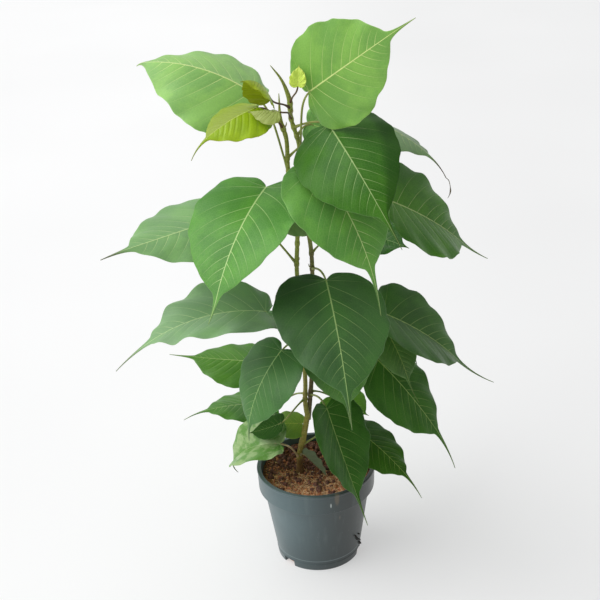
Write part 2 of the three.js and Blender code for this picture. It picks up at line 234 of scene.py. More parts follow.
# The first colour under coats of others, each with its share.
def coated(tree, colour, coats):
    for share, code in coats:
        colour = mixed(tree, share, colour, tint(code))
    return colour


# A value carried from one range to another, in a straight line or eased at both ends.
def ranged(tree, value, fromLow, fromHigh, toLow=0.0, toHigh=1.0, smooth=False):
    kind = "SMOOTHSTEP" if smooth else "LINEAR"
    inputs = {0: value, 1: fromLow, 2: fromHigh, 3: toLow, 4: toHigh}
    return add(tree, "MapRange", {"interpolation_type": kind}, inputs).outputs[0]


# Cloudy noise: scale gives the size of its clouds, detail and rough their finer parts.
def noise(tree, vector, scale, detail=2.0, rough=0.5, space="3D"):
    inputs = {"Vector": vector, "Scale": scale, "Detail": detail, "Roughness": rough}
    return add(tree, "TexNoise", {"noise_dimensions": space}, inputs).outputs[0]


# One sum on one or two values.
def calculated(tree, action, first, second=0.0):
    return add(tree, "Math", {"operation": action}, {0: first, 1: second}).outputs[0]


# A pattern's places scaled, then shifted.
def placed(tree, source, shift=(0, 0, 0), scale=(1, 1, 1)):
    return add(tree, "Mapping", {}, {"Vector": source, "Location": shift, "Scale": scale}).outputs[0]


# The place on a piece, in metres.
def objectPlace(tree):
    return add(tree, "TexCoord", {}, {}).outputs["Object"]


# The x, y or z of a place.
def partOf(tree, place, axis):
    return add(tree, "SeparateXYZ", {}, {"Vector": place}).outputs[axis]


# A number that is kept at each point of a mesh.
def attribute(tree, name):
    return add(tree, "Attribute", {"attribute_name": name}, {}).outputs["Fac"]


# Colour, a roughness that runs between two values as a pattern does, and relief from a height.
def finish(tree, shader, colour, pattern, rough, height, strength, reach):
    tree.links.new(colour, shader.inputs["Base Color"])
    tree.links.new(ranged(tree, pattern, 0.3, 0.7, *rough), shader.inputs["Roughness"])
    bump = add(tree, "Bump", {}, {"Height": height, "Strength": strength, "Distance": reach * mm})
    tree.links.new(bump.outputs[0], shader.inputs["Normal"])


bitFinishes = {  # shine, scale of the grain, its stretch, spread of the roughness, relief and its reach
    "crumb": (0.25, 500, 1.0, 0.08, 0.5, 0.3),
    "dryLeaf": (0.2, 600, 0.3, 0.1, 0.4, 0.2),
}


# Grains of a second colour in a first.
def bitsMaterial(name, colours, rough, kind="crumb"):
    shine, scale, stretch, spread, relief, reach = bitFinishes[kind]
    material, tree, shader = startMaterial(name, {"Specular IOR Level": shine})
    grain = noise(tree, placed(tree, objectPlace(tree), scale=(1, 1, stretch)), scale, 3, 0.6)
    colour = mixed(tree, ranged(tree, grain, 0.35, 0.65), *(tint(code) for code in colours))
    finish(tree, shader, colour, grain, (rough - spread, rough + spread), grain, relief, reach)
    return material


# Limbs: the same lines as the solids have, from the soil up.
soilTop = 102.0
forkHeight = 176.0
stemStart = 188.0
trunkLine = [(-18, 0, soilTop + 0.4), (-17, 0, 124), (-12, 0, 146), (-6, 0.5, forkHeight)]
leftLine = [
    (-8.5, -1.5, stemStart), (-7.5, -2.5, 215), (-9, -1, 280), (-11, 1.5, 345), (-9, 3.5, 385),
    (-15, 5, 450), (-15.5, 5, 482), (-20, 5, 500), (-20.5, 5, 527),
]
rightLine = [
    (-3.5, 2.5, stemStart), (0, 3, 225), (3.5, 1, 300), (4.5, -1, 360), (1.5, -2.5, 395),
    (-3.5, -3, 478), (-10, -3, 505), (-10.5, -3, 522), (-17, -4, 542), (-27, -5, 557),
]
limbCurves = {
    "trunk": curveThrough(trunkLine, 200),
    "left": curveThrough(leftLine, 400),
    "right": curveThrough(rightLine, 400),
}


# The point of a limb's line at a height.
def limbPoint(limb, height):
    line = limbCurves[limb]
    return np.array([np.interp(height, line[:, 2], line[:, k]) for k in range(3)])


# One row for each leaf, as in the solids: name, limb, height of its joint, where the blade starts,
# heading (0 to the front, 90 to the right), pitch below level, roll, body length, width and drip tip
# for each length, droop along the midrib, fold of each half upwards, bend of the tip, tone.
leafKeys = ("name", "limb", "joint", "base", "heading", "pitch", "roll", "length", "width", "tip",
            "droop", "fold", "bend", "tone")
leaves = [
    ("top_right", "right", 472, (8, -30, 537), 50, -35, -90, 108, 0.9, 0.27, 4, -4, 15, "fresh"),
    ("top_left", "left", 448, (-42, 3, 526), -91, -39, 23, 116, 1.12, 0.08, 48, -18, 40, "fresh"),
    ("young_yellow", "left", 492, (-40, -30, 524), -46, 0, 18, 64, 0.86, 0.38, 30, -18, 45, "young"),
    ("young_olive", "right", 514, (-28, -29, 531), -44, -70, 1, 43, 1.02, 0.1, 66, -36, 0, "olive"),
    ("behind_top", "right", 486, (7, 10, 494), 95, 20, -65, 48, 0.92, 0.28, 30, 8, 16, "deep"),
    ("upper_front", "right", 495, (25, -31, 505), 18, 14, -25, 114, 0.9, 0.3, 50, -16, 20, "middle"),
    ("upper_low", "right", 430, (13, -38, 467), 36, 30, -13, 114, 0.88, 0.46, 50, -2, 19, "middle"),
    ("left_front", "left", 420, (-37, -13, 439), -31, 18, -5, 127, 0.94, 0.22, 36, 5, -15, "middle"),
    ("left_far", "left", 350, (-70, 17, 402), -55, 2, 12, 123, 0.93, 0.25, 0, -8, 7, "middle"),
    ("centre", "right", 345, (17, -50, 354), 9, 26, 5, 123, 0.92, 0.28, 20, -8, 3, "deep"),
    ("left_level", "left", 276, (-44, -27, 311), -74, -17, 4, 125, 0.86, 0.35, 47, 7, 14, "middle"),
    ("low_left_bright", "left", 235, (-53, 15, 232), -99, 0, 16, 75, 0.92, 0.34, -6, -12, 0, "bright"),
    ("low_left_front", "left", 262, (-30, -45, 276), -56, 38, 7, 86, 0.93, 0.24, 45, -6, 13, "deep"),
    ("low_left_back", "left", 200, (-49, 58, 154), -72, -16, 2, 74, 0.92, 0.36, 19, -7, 22, "middle"),
    ("foot_pale", "trunk", 118, (-38, -26, 154), -101, 2, 23, 74, 0.92, 0.25, 70, 25, 50, "pale"),
    ("foot_dark", "left", 194, (-35, -26, 179), -119, 33, 33, 40, 0.75, 0.14, -12, 1, 12, "deep"),
    ("foot_behind", "trunk", 140, (-13, 12, 154), -85, -10, 20, 42, 0.92, 0.3, 15, -6, 20, "bright"),
    ("low_right_front", "right", 196, (13, -45, 206), 32, 60, 22, 95, 0.92, 0.34, -3, 14, 0, "deep"),
    ("low_right_side", "trunk", 134, (42, -5, 157), 50, 17, 2, 77, 0.93, 0.38, 19, -8, 19, "deep"),
    ("right_lower", "right", 235, (69, -8, 240), 69, 43, -11, 103, 0.93, 0.46, 16, -4, 17, "deep"),
    ("right_middle", "right", 300, (76, -8, 294), 98, 29, -23, 108, 0.86, 0.52, 24, 10, -24, "deep"),
    ("right_between", "right", 268, (78, -11, 276), 36, 40, -6, 55, 0.92, 0.5, 28, 4, -30, "deep"),
    ("right_withered", "left", 462, (61, 60, 484), 56, 9, 10, 85, 0.9, 0.32, 23, -14, 24, "middle"),
    ("right_upper", "right", 395, (86, -2, 414), 118, 30, -40, 118, 0.9, 0.43, 17, 6, -13, "middle"),
    ("right_behind", "right", 362, (44, 63, 358), 34, -14, -40, 80, 0.92, 0.1, 25, 7, 19, "deep"),
    ("centre_behind", "right", 292, (22, -22, 294), 12, 50, -11, 86, 0.9, 0.26, 27, 8, 23, "deep"),
    ("small_bright", "right", 200, (21, 22, 181), 44, 2, -12, 48, 1.05, 0.12, 3, 4, -3, "bright"),
    ("foot_folded", "trunk", 120, (-13, -7, 128), 60, 34, 60, 34, 0.6, 0.1, 5, 40, 0, "grey"),
    ("middle_dark", "left", 396, (-20, -14, 410), 82, 12, -68, 42, 0.9, 0.28, 10, 4, 10, "deep"),
    ("newest", "right", 519, (-2, -34, 544), 165, -75, 0, 17, 1, 0.15, 10, 18, 0, "young"),
    ("back_top", "right", 470, (48, 64, 464), 165, 35, 0, 92, 0.92, 0.3, 30, -6, 15, "middle"),
    ("back_left", "left", 410, (-46, 50, 382), -150, 40, 0, 80, 0.92, 0.3, 30, -6, 15, "middle"),
    ("back_upper", "left", 372, (8, 66, 406), 172, 38, 0, 78, 0.92, 0.3, 30, -6, 15, "middle"),
    ("back_centre", "right", 318, (14, 62, 296), 178, 40, 0, 96, 0.92, 0.3, 28, -6, 15, "deep"),
    ("back_right", "right", 262, (78, 36, 270), 108, 42, 0, 66, 0.92, 0.3, 28, -6, 15, "deep"),
    ("back_low", "right", 222, (20, 52, 236), 170, 45, 0, 80, 0.92, 0.3, 28, -6, 15, "deep"),
    ("young_pale", "right", 504, (-21, -51, 525), -98, -7, 21, 26, 0.97, 0.12, 15, -32, 0, "soft"),
]

# The leaves' tones: upper side in light and dark patches, veins, underside, rim, and the petiole.
tones = {
    "fresh": ("#68a23c", "#558f33", "#c2d98c", "#8fb877", "#9fc07e", "#a3ae58"),
    "middle": ("#4f8c26", "#3f7a20", "#b4cf86", "#84ab70", "#8bb070", "#a9b05c"),
    "deep": ("#356a22", "#2a5a1b", "#93b56e", "#6d9560", "#6d9560", "#a2a95c"),
    "bright": ("#5d9828", "#4b8620", "#b7d47a", "#8fb870", "#94b86c", "#a8b05e"),
    "young": ("#a3c21c", "#8fb01a", "#d8e27e", "#c3cf6a", "#c0a05e", "#7a5a3c"),
    "olive": ("#bccf1c", "#98ac14", "#c2c25a", "#9aa81c", "#8a8a2c", "#6a4c38"),
    "pale": ("#a3c486", "#5f9a35", "#c3d9a0", "#a9c68c", "#a8c480", "#cdb78a"),
    "grey": ("#5c6e48", "#4c5c3c", "#a4b28c", "#8fa080", "#8fa080", "#a89c70"),
    "soft": ("#a9b862", "#98a850", "#c9d08c", "#b4c07c", "#a8a468", "#6a4c38"),
}
looks = {  # how bright, warm, milky and glossy a leaf is against its tone; milky is a painted whitish sheen, and how bright is partly painted light and shade
    "top_right": (1.25, 0.18, 0.05, 1.0),
    "top_left": (1.62, 0.18, 0.13, 1.2),
    "behind_top": (4.0, 0.4, 0.18, 1.0),
    "upper_front": (0.72, 0.0, 0.0, 0.6),
    "upper_low": (1.5, 0.1, 0.06, 1.0),
    "left_front": (1.2, 0.0, 0.01, 1.0),
    "left_far": (1.42, 0.14, 0.2, 1.2),
    "centre": (1.14, 0.11, 0.035, 1.0),
    "left_level": (1.24, 0.1, 0.26, 0.9),
    "low_left_bright": (0.84, 0.0, 0.01, 1.0),
    "low_left_front": (1.3, 0.04, 0.04, 1.0),
    "low_left_back": (0.85, 0.04, 0.01, 1.0),
    "foot_pale": (0.84, 0.05, 0.03, 1.0),
    "foot_dark": (0.55, 0.1, 0.0, 0.1),
    "foot_behind": (1.3, 0.7, 0.1, 0.6),
    "low_right_front": (1.14, 0.18, 0.01, 0.3),
    "low_right_side": (1.18, 0.34, 0.0, 0.3),
    "right_lower": (1.34, 0.22, 0.01, 0.4),
    "right_middle": (1.24, 0.24, 0.04, 0.7),
    "right_between": (1.36, 0.42, 0.06, 0.8),
    "right_withered": (0.82, 0.3, 0.17, 1.2),
    "right_upper": (0.95, 0.1, 0.0, 0.8),
    "right_behind": (1.25, 0.05, 0.0, 1.0),
    "centre_behind": (1.6, 0.25, 0.03, 1.0),
    "small_bright": (1.2, 0.2, 0.03, 1.0),
    "foot_folded": (0.5, 0.08, 0.0, 0.4),
    "middle_dark": (1.8, 0.9, 0.16, 0.8),
    "newest": (1.65, 0.15, 0.15, 1.0),
    "young_yellow": (1.12, 0.0, 0.0, 1.2),
}
frills = {  # how far a leaf's margin waves, by the usual
    "left_level": 2.0, "top_left": 1.4, "right_upper": 1.1, "upper_front": 0.6, "centre": 0.6,
    "young_yellow": 0.45, "left_front": 0.55, "upper_low": 0.7, "low_left_front": 0.4,
    "low_left_bright": 0.6, "foot_dark": 0.35, "low_right_front": 0.6,
}
# A leaf whose left (-1) or right (1) half takes a second colour, a painted shade (on young_yellow, for the half
# that light does not shine through): its share, and where it fades in, by width.
paintedHalfShade = {
    "young_yellow": (1, "#8f9f3c", 0.8, 0.0, 0.05),
    "upper_front": (-1, "#14340c", 0.5, 0.55, 0.8),
    "centre": (1, "#12331a", 0.3, 0.0, 0.3),
}
veinShares = {"pale": 0.25, "grey": 0.4, "soft": 0.6, "olive": 0.5}
dryTips = {"right_withered": 1.0, "left_far": 0.8, "left_level": 0.6, "foot_pale": 0.7}
leafShape = {
    "thickness": 0.6,
    "usual": 120.0,  # the body length that ribs, veins and arches are given for
    "petiole": 1.1,  # radius
    "petioleFoot": 0.6,  # how much wider it is at the stem
    "petioleInto": 5.0,  # how far it runs on under the midrib
    "quilt": 0.24,  # how far the blade bulges between its veins
    "softQuilt": 1.8,  # and by how much more a young one does
    "small": 60,  # a shorter body has half the frill
    "wave": 1.3,  # how far the margin waves up and down
    "ragged": 0.8,  # and in and out
    "waves": 5.5,
    "arch": 1.4,  # how far each half arches between midrib and margin
    "ribWidth": 1.0,  # half width of the midrib at the blade's base
    "veinWidth": 0.4,
    "fineWidth": 0.2,
    "firstRow": 0.04,
    "lobeVeins": (0.45, 0.74),  # where the two veins of each lobe reach its margin, 0 to 1
    "starts": (0.05, 0.18, 0.3, 0.42, 0.53, 0.635, 0.735, 0.83),  # of the laterals, by body length
    "climb": 1.55,
    "neck": 0.93,
    "steps": 9,  # rows from one vein to the next
    "shift": 3,  # rows by which the right half's veins come later
    "tipRows": 16,
    "columns": 20,  # from the midrib to the margin
}


# Half of the outline of a body one unit long, x out and y along: the lobe for u 0 to 1, the side
# for u 1 to 2 and the drip tip for u 2 to 3, each a cubic Bezier arc.
def marginAt(u, tip):
    arcs = np.array([
        [(0, 0), (0.1, -0.16), (0.46, -0.14), (0.48, 0.25)],
        [(0.48, 0.25), (0.5, 0.56), (0.26, 0.84), (0.06, 0.97)],
        [(0.06, 0.97), (0.018, 1.005), (0.01, 1 + 0.5 * tip), (0.0025, 1 + tip)],
    ])
    part = np.minimum(u.astype(int), 2)
    return bezier(*(arcs[part, k] for k in range(4)), u - part)


# The blade's flat pattern: each row of points runs as a vein does, from the midrib at start(u) out
# and forward to the margin at u, along a quadratic Bezier curve. Gives u, v, x, y and the rows that are veins.
def flatPattern(tip):
    shape = leafShape
    neck = shape["neck"]
    sideStarts = np.array(shape["starts"])
    knots = np.concatenate([
        [shape["firstRow"]], shape["lobeVeins"], 1 + (sideStarts / neck) ** (1 / shape["climb"]), [2.0],
    ])
    count = shape["steps"] * (len(knots) - 1)
    u = np.interp(np.arange(count + 1) / shape["steps"], np.arange(len(knots)), knots)
    u = np.concatenate([u, 2 + np.arange(1, shape["tipRows"] + 1) / shape["tipRows"]])
    veinRows = shape["steps"] * np.arange(1, len(knots) - 1)
    inner = np.array([0, 0.006, 0.013, 0.022, 0.04])
    v = np.concatenate([inner, np.linspace(0.075, 0.97, shape["columns"] - 6), [0.988, 1.0]])
    body = np.clip(u - 1, 0, 1) ** shape["climb"] * neck
    start = np.where(u < 2, body + 0.004 * np.minimum(u, 1), neck + (1 + tip - neck) * (u - 2))
    edge = marginAt(u, tip)
    ahead = np.where(u > 1, 0.45, 0.5)
    midX = 0.68 * edge[:, 0]
    midY = start + ahead * (edge[:, 1] - start)
    x = 2 * np.outer(midX, v * (1 - v)) + np.outer(edge[:, 0], v**2)
    y = np.outer(start, (1 - v) ** 2) + 2 * np.outer(midY, v * (1 - v)) + np.outer(edge[:, 1], v**2)
    return u, v, x, y, veinRows


# Distance from each point of a half to its nearest vein row, measured along the pattern.
def fromVeins(x, y, veinRows):
    rows = np.arange(len(x))
    nearest = veinRows[np.abs(rows[:, None] - veinRows[None, :]).argmin(1)]
    return np.hypot(x - x[nearest], y - y[nearest])


# Directions of a blade at its base: along the midrib, out to its right, and up from its face.
def bladeAxes(heading, pitch, roll):
    h, p, r = np.radians([heading, pitch, roll])
    out = np.array([np.sin(h), -np.cos(h), 0])
    up = np.array([0, 0, 1.0])
    along = out * np.cos(p) - up * np.sin(p)
    face = out * np.sin(p) + up * np.cos(p)
    side = np.cross(along, face)
    return along, side * np.cos(r) + face * np.sin(r), face * np.cos(r) - side * np.sin(r)


# Bends the flat pattern into place: the midrib is an arc that turns down by droop over the body and
# by bend over the drip tip, each half is folded up from it, and lift is measured up from the blade.
def bentBlade(leaf, axes, x, y, lift):
    length, tip = leaf["length"], leaf["tip"]
    droop = np.radians(leaf["droop"]) + 1e-6
    bend = np.radians(leaf["bend"]) / tip + 1e-6
    body = np.clip(y, 0, 1)
    turn = droop * body + bend * np.maximum(0, y - 1)
    ahead = np.sin(droop * body) / droop + np.minimum(y, 0) + (np.sin(turn) - np.sin(droop * body)) / bend
    below = (1 - np.cos(droop * body)) / droop + (np.cos(droop * body) - np.cos(turn)) / bend
    wide = x * leaf["width"] / 0.96
    fold = np.radians(leaf["fold"])
    height = np.abs(wide) * np.sin(fold) + lift / length
    along, side, face = axes
    return np.array(leaf["base"], float) + length * (
        (ahead + height * np.sin(turn))[..., None] * along
        + (height * np.cos(turn) - below)[..., None] * face
        + (wide * np.cos(fold))[..., None] * side
    )


# One half of a blade, -1 the left and 1 the right: its points across and along, how far they are
# from the veins and from the fine veins between them, and how far waves (sums of sines along the
# margin) and the arch from midrib to margin (half a sine) lift them.
def bladeHalf(leaf, pattern, hand, veinRows, at):
    shape = leafShape
    u, v, x, y, fade = pattern
    between = (veinRows[:-1] + veinRows[1:]) // 2
    vein, fine = (fromVeins(x, y, rows) * leaf["length"] for rows in (veinRows, between))
    turns = shape["waves"] * u / 2
    wave = np.sin(2 * np.pi * turns + at) + 0.5 * np.sin(5.1 * turns + at * 2)
    wave = np.outer(wave * fade, v**3) * shape["wave"] * leaf["frill"]
    arch = np.outer(fade * np.clip(u, 0, 1), np.sin(np.pi * v)) * shape["arch"] * leaf["size"]
    ragged = np.sin(23 * u + at) + 0.7 * np.sin(11.3 * u + 2.3 * at) + 0.5 * np.sin(41 * u + 3.1 * at)
    ragged = np.outer(ragged * fade * np.clip(4 * u, 0, 1), v**4) * shape["ragged"]
    return hand * x * (1 + ragged / (0.45 * shape["usual"])), y, vein, fine, wave + arch


# Faces of two skins over one grid, the second turned over, with a wall between them all round.
def skinFaces(rows, columns):
    count = rows * columns
    first = np.arange(rows) * columns
    last = first + columns - 1
    start = np.arange(columns)
    end = start + (rows - 1) * columns
    border = np.concatenate([start, last[1:], end[-2::-1], first[-2:0:-1]])
    after = np.roll(border, -1)
    wall = np.stack([after, border, border + count, after + count], -1)
    grid = gridFaces(rows, columns)
    return np.vstack([grid, grid[:, ::-1] + count, wall])


# Upper and lower skins of a blade, closed along the margin. The upper one is quilted between its
# veins, and the lower one has the midrib and veins standing out of it, each a bell of its distance.
def bladeMesh(leaf, axes):
    shape = leafShape
    u, v, x, y, veinRows = flatPattern(leaf["tip"])
    length, size = leaf["length"], leaf["size"]
    later = np.minimum(veinRows + shape["shift"], shape["steps"] * (len(veinRows) + 1))
    phase = dice.uniform(0, 2 * np.pi, 4)  # two are used, but later draws follow on from all four
    fade = 1 - np.clip((u - 1.75) / 0.25, 0, 1)  # nothing waves or is quilted on the drip tip
    pattern = (u, v, x, y, fade)
    left = bladeHalf(leaf, pattern, -1, veinRows, phase[0])
    right = bladeHalf(leaf, pattern, 1, later, phase[1])
    joined = [np.hstack([a[:, :0:-1], b]) for a, b in zip(left, right)]
    across, along, vein, fine, swell = joined
    out = np.concatenate([v[:0:-1], v])
    rib = np.abs(across) * length
    ribWidth = shape["ribWidth"] * size * np.interp(along, [0, 0.9, 1 + leaf["tip"]], [1, 0.4, 0.2])
    veinWidth = shape["veinWidth"] * size * (1 - 0.45 * out)
    tipFade = np.broadcast_to(fade[:, None], rib.shape)
    hollow = np.exp(-((vein / (2.2 * size)) ** 2)) * (1 - out**4) * tipFade
    quilt = shape["quilt"] * leaf["puff"] * (1 - hollow - 0.15 * np.exp(-((fine / 1.2) ** 2)) * tipFade)
    ridge = np.exp(-((rib / (1.1 * ribWidth)) ** 2)) * ribWidth
    half = shape["thickness"] / 2 * np.interp(along, [0.9, 1 + leaf["tip"]], [1, 0.6])
    rim = np.sqrt(np.clip(1 - out**24, 0.02, 1))
    top = swell + quilt * (1 - out**6) + half * rim + 0.25 * ridge
    low = swell + quilt * (1 - out**6) - half * rim - 0.9 * ridge - 0.35 * size * hollow
    points = np.vstack([bentBlade(leaf, axes, across, along, lift).reshape(-1, 3) for lift in (top, low)])
    rows, columns = across.shape
    faces = skinFaces(rows, columns)
    margin = np.where(np.arange(columns) < columns // 2, across[:, [0]], across[:, [-1]])
    edge = np.hypot(across - margin, along - along[:, [0]]) * length
    values = {
        "vein": np.where(tipFade > 0, vein / veinWidth, 9),
        "fine": np.where(tipFade > 0, fine / (shape["fineWidth"] * size), 9),
        "rib": rib / ribWidth,
        "edge": np.broadcast_to(edge, rib.shape),
        "out": np.broadcast_to(out, rib.shape),
        "hand": np.broadcast_to(np.sign(across), rib.shape),
        "tip": np.clip((along - 0.94) / (0.06 + leaf["tip"]), 0, 1),
    }
    values = {key: np.tile(value.ravel(), 2) for key, value in values.items()}
    values["under"] = np.repeat([0.0, 1.0], rows * columns)
    flat = np.stack([0.5 + across * length / 240, 0.15 + along * length / 240], -1).reshape(-1, 2)
    return points, faces, values, np.tile(flat, (2, 1))


# The petiole is a Bezier curve that leaves the limb outwards and upwards and comes in along the midrib.
def petioleMesh(leaf, axes):
    start = limbPoint(leaf["limb"], leaf["joint"])
    base = np.array(leaf["base"], float)
    reach = np.linalg.norm(base - start)
    leave = start + 0.4 * (base - start) + (0, 0, 0.12 * reach)
    arrive = base - 0.25 * reach * axes[0]
    end = base + leafShape["petioleInto"] * axes[0]
    t = np.linspace(0, 1, 30)
    path = bezier(start, leave, arrive, end, t)
    run = t * reach
    radius = leafShape["petiole"] * (0.75 + 0.25 * leaf["size"])
    radius = radius + leafShape["petioleFoot"] * np.exp(-(((run - 2) / 4) ** 2)) - 0.35 * radius * t**6
    aside = unit(np.cross(end - start, leave - start) + 1e-3)
    return tube(path, radius, 10, aside)


leafSkin = {
    # milk: the pale colour of a painted whitish sheen
    "milk": "#c3d2c8",
    "dry": "#4b3d26",
    "clouds": (6, 0.36, 0.64),  # scale, and where the patches start and are full
    "blotches": (16, 0.42, 0.58),  # the same for a pale leaf
    "grain": 90,
    "cells": 85,
    "lateral": (0.82, 0.1),  # how clear side veins are at the midrib and at the margin
    "under": 0.72,
    "petioleDark": 0.62,
}


# Veins are thin lines that fade towards the margin, over clouds and darker streaks that follow them; the streaks
# are partly the leaf's own colour and partly painted shade in the hollows beside the veins.
def leafMaterial(leaf):
    top, patch, vein, under, rim, _ = (tint(code) for code in tones[leaf["tone"]])
    # bright is partly painted light and shade: how lit or shaded a leaf looks where it lies, besides its own tone
    bright, warm, milk, gloss = looks.get(leaf["name"], (1.0, 0.0, 0.0, 1.0))
    cast = np.array([1 + warm, 1, 1 - warm, 1 / bright]) * bright
    # a painted whitish sheen: the pale colour mixed over all of the leaf's colours
    pale = np.array(tint(leafSkin["milk"]))
    top, patch, vein, under, rim = (
        tuple((1 - milk) * np.array(colour) * cast**power + milk * pale)
        for colour, power in ((top, 1), (patch, 1), (vein, 0.6), (under, 0.5), (rim, 0.7))
    )
    material, tree, shader = startMaterial(leaf["piece"] + "Blade", {
        "Specular IOR Level": 0.3 * gloss, "Coat Weight": 0.04 * gloss, "Coat Roughness": 0.3,
    })
    flat = add(tree, "UVMap", {"uv_map": "flat"}, {}).outputs[0]
    own = placed(tree, flat, shift=(*dice.uniform(0, 9, 2), 0))
    out, side = attribute(tree, "out"), attribute(tree, "vein")
    scale, least, most = leafSkin["blotches" if leaf["tone"] == "pale" else "clouds"]
    cloud = ranged(tree, noise(tree, own, scale, 4, 0.6, "2D"), least, most, smooth=True)
    grain = noise(tree, own, leafSkin["grain"], 3, 0.6, "2D")
    cells = add(tree, "TexVoronoi", {"voronoi_dimensions": "2D", "feature": "DISTANCE_TO_EDGE"},
                {"Vector": own, "Scale": leafSkin["cells"]}).outputs[0]
    netting = ranged(tree, cells, 0.03, 0.14, 1, 0)
    broken = ranged(tree, noise(tree, own, 30, 2, 0.5, "2D"), 0.3, 0.6, 0.65, 1.0)
    share = veinShares.get(leaf["tone"], 1.0)
    fading = ranged(tree, out, 0.1, 0.95, *(part * share for part in leafSkin["lateral"]))
    fading = calculated(tree, "MULTIPLY", fading, broken)
    laterals = ranged(tree, side, 0.35, 1.25, 1, 0, smooth=True)
    colour = top
    for amount, coat in (
        (cloud, patch),
        (ranged(tree, grain, 0.3, 0.75, 0, 0.3), patch),
        # darker beside the veins: partly painted shade of the hollows along them
        (ranged(tree, side, 1.0, 9.0, 0.22, 0, smooth=True), patch),
        (calculated(tree, "MULTIPLY", netting, 0.05), vein),
        (ranged(tree, attribute(tree, "fine"), 0.4, 1.6, 0.06, 0, smooth=True), vein),
        (calculated(tree, "MULTIPLY", laterals, fading), vein),
        (ranged(tree, attribute(tree, "rib"), 0.5, 1.2, 0.9 * share**0.5, 0, smooth=True), vein),
        (ranged(tree, attribute(tree, "edge"), 0.1, 0.7, 0.4, 0, smooth=True), rim),
        (calculated(tree, "MULTIPLY", attribute(tree, "under"), leafSkin["under"]), under),
    ):
        colour = mixed(tree, amount, colour, coat)
    # one half of the leaf gets its painted shade
    if leaf["name"] in paintedHalfShade:
        hand, code, share, near, far = paintedHalfShade[leaf["name"]]
        half = ranged(tree, calculated(tree, "MULTIPLY", attribute(tree, "hand"), hand), -0.2, 0.2)
        band = calculated(tree, "MULTIPLY", half, ranged(tree, out, near, far, 0, share, smooth=True))
        colour = mixed(tree, band, colour, tint(code))
    dry = ranged(tree, attribute(tree, "tip"), 0.1, 0.8, 0, dryTips.get(leaf["name"], 0.3), smooth=True)
    colour = mixed(tree, dry, colour, tint(leafSkin["dry"]))
    height = calculated(tree, "ADD", calculated(tree, "MULTIPLY", netting, -0.5), grain)
    finish(tree, shader, colour, grain, (0.34, 0.46), height, 0.25, 0.15)
    return material


# A tone's sixth colour, with patches and lengthwise streaks of a darker one.
def petioleMaterial(leaf):
    colour = tint(tones[leaf["tone"]][5])
    dark = tuple(leafSkin["petioleDark"] * c for c in colour[:3]) + (1.0,)
    material, tree, shader = startMaterial(leaf["piece"] + "Petiole", {"Specular IOR Level": 0.4})
    place = objectPlace(tree)
    streaks = noise(tree, placed(tree, place, scale=(1, 1, 0.25)), 900, 3)
    patches = noise(tree, place, 45, 2)
    colour = mixed(tree, ranged(tree, patches, 0.35, 0.7), colour, dark)
    colour = mixed(tree, ranged(tree, streaks, 0.4, 0.8, 0, 0.35), colour, dark)
    finish(tree, shader, colour, patches, (0.38, 0.52), streaks, 0.3, 0.15)
    return material


# "top_left" becomes "topLeft".
def camel(name):
    first, *rest = name.split("_")
    return first + "".join(word.capitalize() for word in rest)


# A blade and its petiole in one piece. The petiole has its own way out, so it is turned to agree.
def addLeaf(row):
    leaf = dict(zip(leafKeys, row))
    leaf["piece"] = camel(leaf["name"]) + "Leaf"
    leaf["size"] = leaf["length"] / leafShape["usual"]
    leaf["frill"] = frills.get(leaf["name"], 1.0) * (0.5 if leaf["length"] < leafShape["small"] else 1)
    leaf["puff"] = leafShape["softQuilt"] if leaf["tone"] in ("young", "olive", "soft") else 1.0
    axes = bladeAxes(leaf["heading"], leaf["pitch"], leaf["roll"])
    points, faces, values, flat = bladeMesh(leaf, axes)
    stalk, sides, ends = petioleMesh(leaf, axes)
    count = len(points)
    if facesOut(points, faces) < 0:
        faces = faces[:, ::-1]
    if facesOut(stalk, sides) + facesOut(stalk, ends) < 0:
        sides, ends = sides[:, ::-1], ends[:, ::-1]
    groups = [(faces, 0), (sides + count, 1), (ends + count, 1)]
    # a petiole is far from every vein, and its flat place is a corner of the pattern
    values = {key: np.concatenate([value, np.full(len(stalk), 9.0)]) for key, value in values.items()}
    flat = np.vstack([flat, np.full((len(stalk), 2), 0.02)])
    addPiece(leaf["piece"], np.vstack([points, stalk]), groups, [leafMaterial(leaf), petioleMaterial(leaf)],
             "leaf_" + leaf["name"], values, {"flat": flat})


curl = {
    "leaf": "right_withered",
    "steps": ((2.8, 0, -3), (4.8, 0.5, -12), (4.6, 1, -17), (2.2, 0, -22)),  # from the end of its drip tip
    "radius": 0.42,
    "thinner": 0.2,  # at its end
    "bud": (0.72, 0.5, 0.12),  # where it swells, by how much and how far along
}


# A dry, curled thread that hangs on from a leaf's drip tip: a curve with one bell-shaped swelling.
def addCurl():
    leaf = next(dict(zip(leafKeys, row)) for row in leaves if row[0] == curl["leaf"])
    axes = bladeAxes(leaf["heading"], leaf["pitch"], leaf["roll"])
    end = bentBlade(leaf, axes, np.zeros(2), np.array([0.97, 1.0]) * (1 + leaf["tip"]), np.zeros(2))
    path = curveThrough([end[0], end[1], *(end[1] + np.array(step) for step in curl["steps"])], 40)
    t = np.linspace(0, 1, 40)
    at, swell, reach = curl["bud"]
    radius = curl["radius"] + swell * np.exp(-(((t - at) / reach) ** 2)) - curl["thinner"] * t
    points, sides, ends = tube(path, radius, 8, (0.1, 1, 0.2))
    material = bitsMaterial("driedCurl", ("#4b4334", "#7c7157"), 0.7, "dryLeaf")
    addPiece("driedCurl", points, [(sides, 0), (ends, 0)], [material], None)


scales = [  # limb, height, the way it points (90 is to the right), length
    ("right", 346, -60, 7), ("right", 396, 70, 8), ("left", 352, 120, 6), ("right", 509, 40, 7),
    ("left", 493, 60, 8), ("right", 302, -40, 6), ("left", 277, 60, 7), ("right", 236, -50, 6),
]


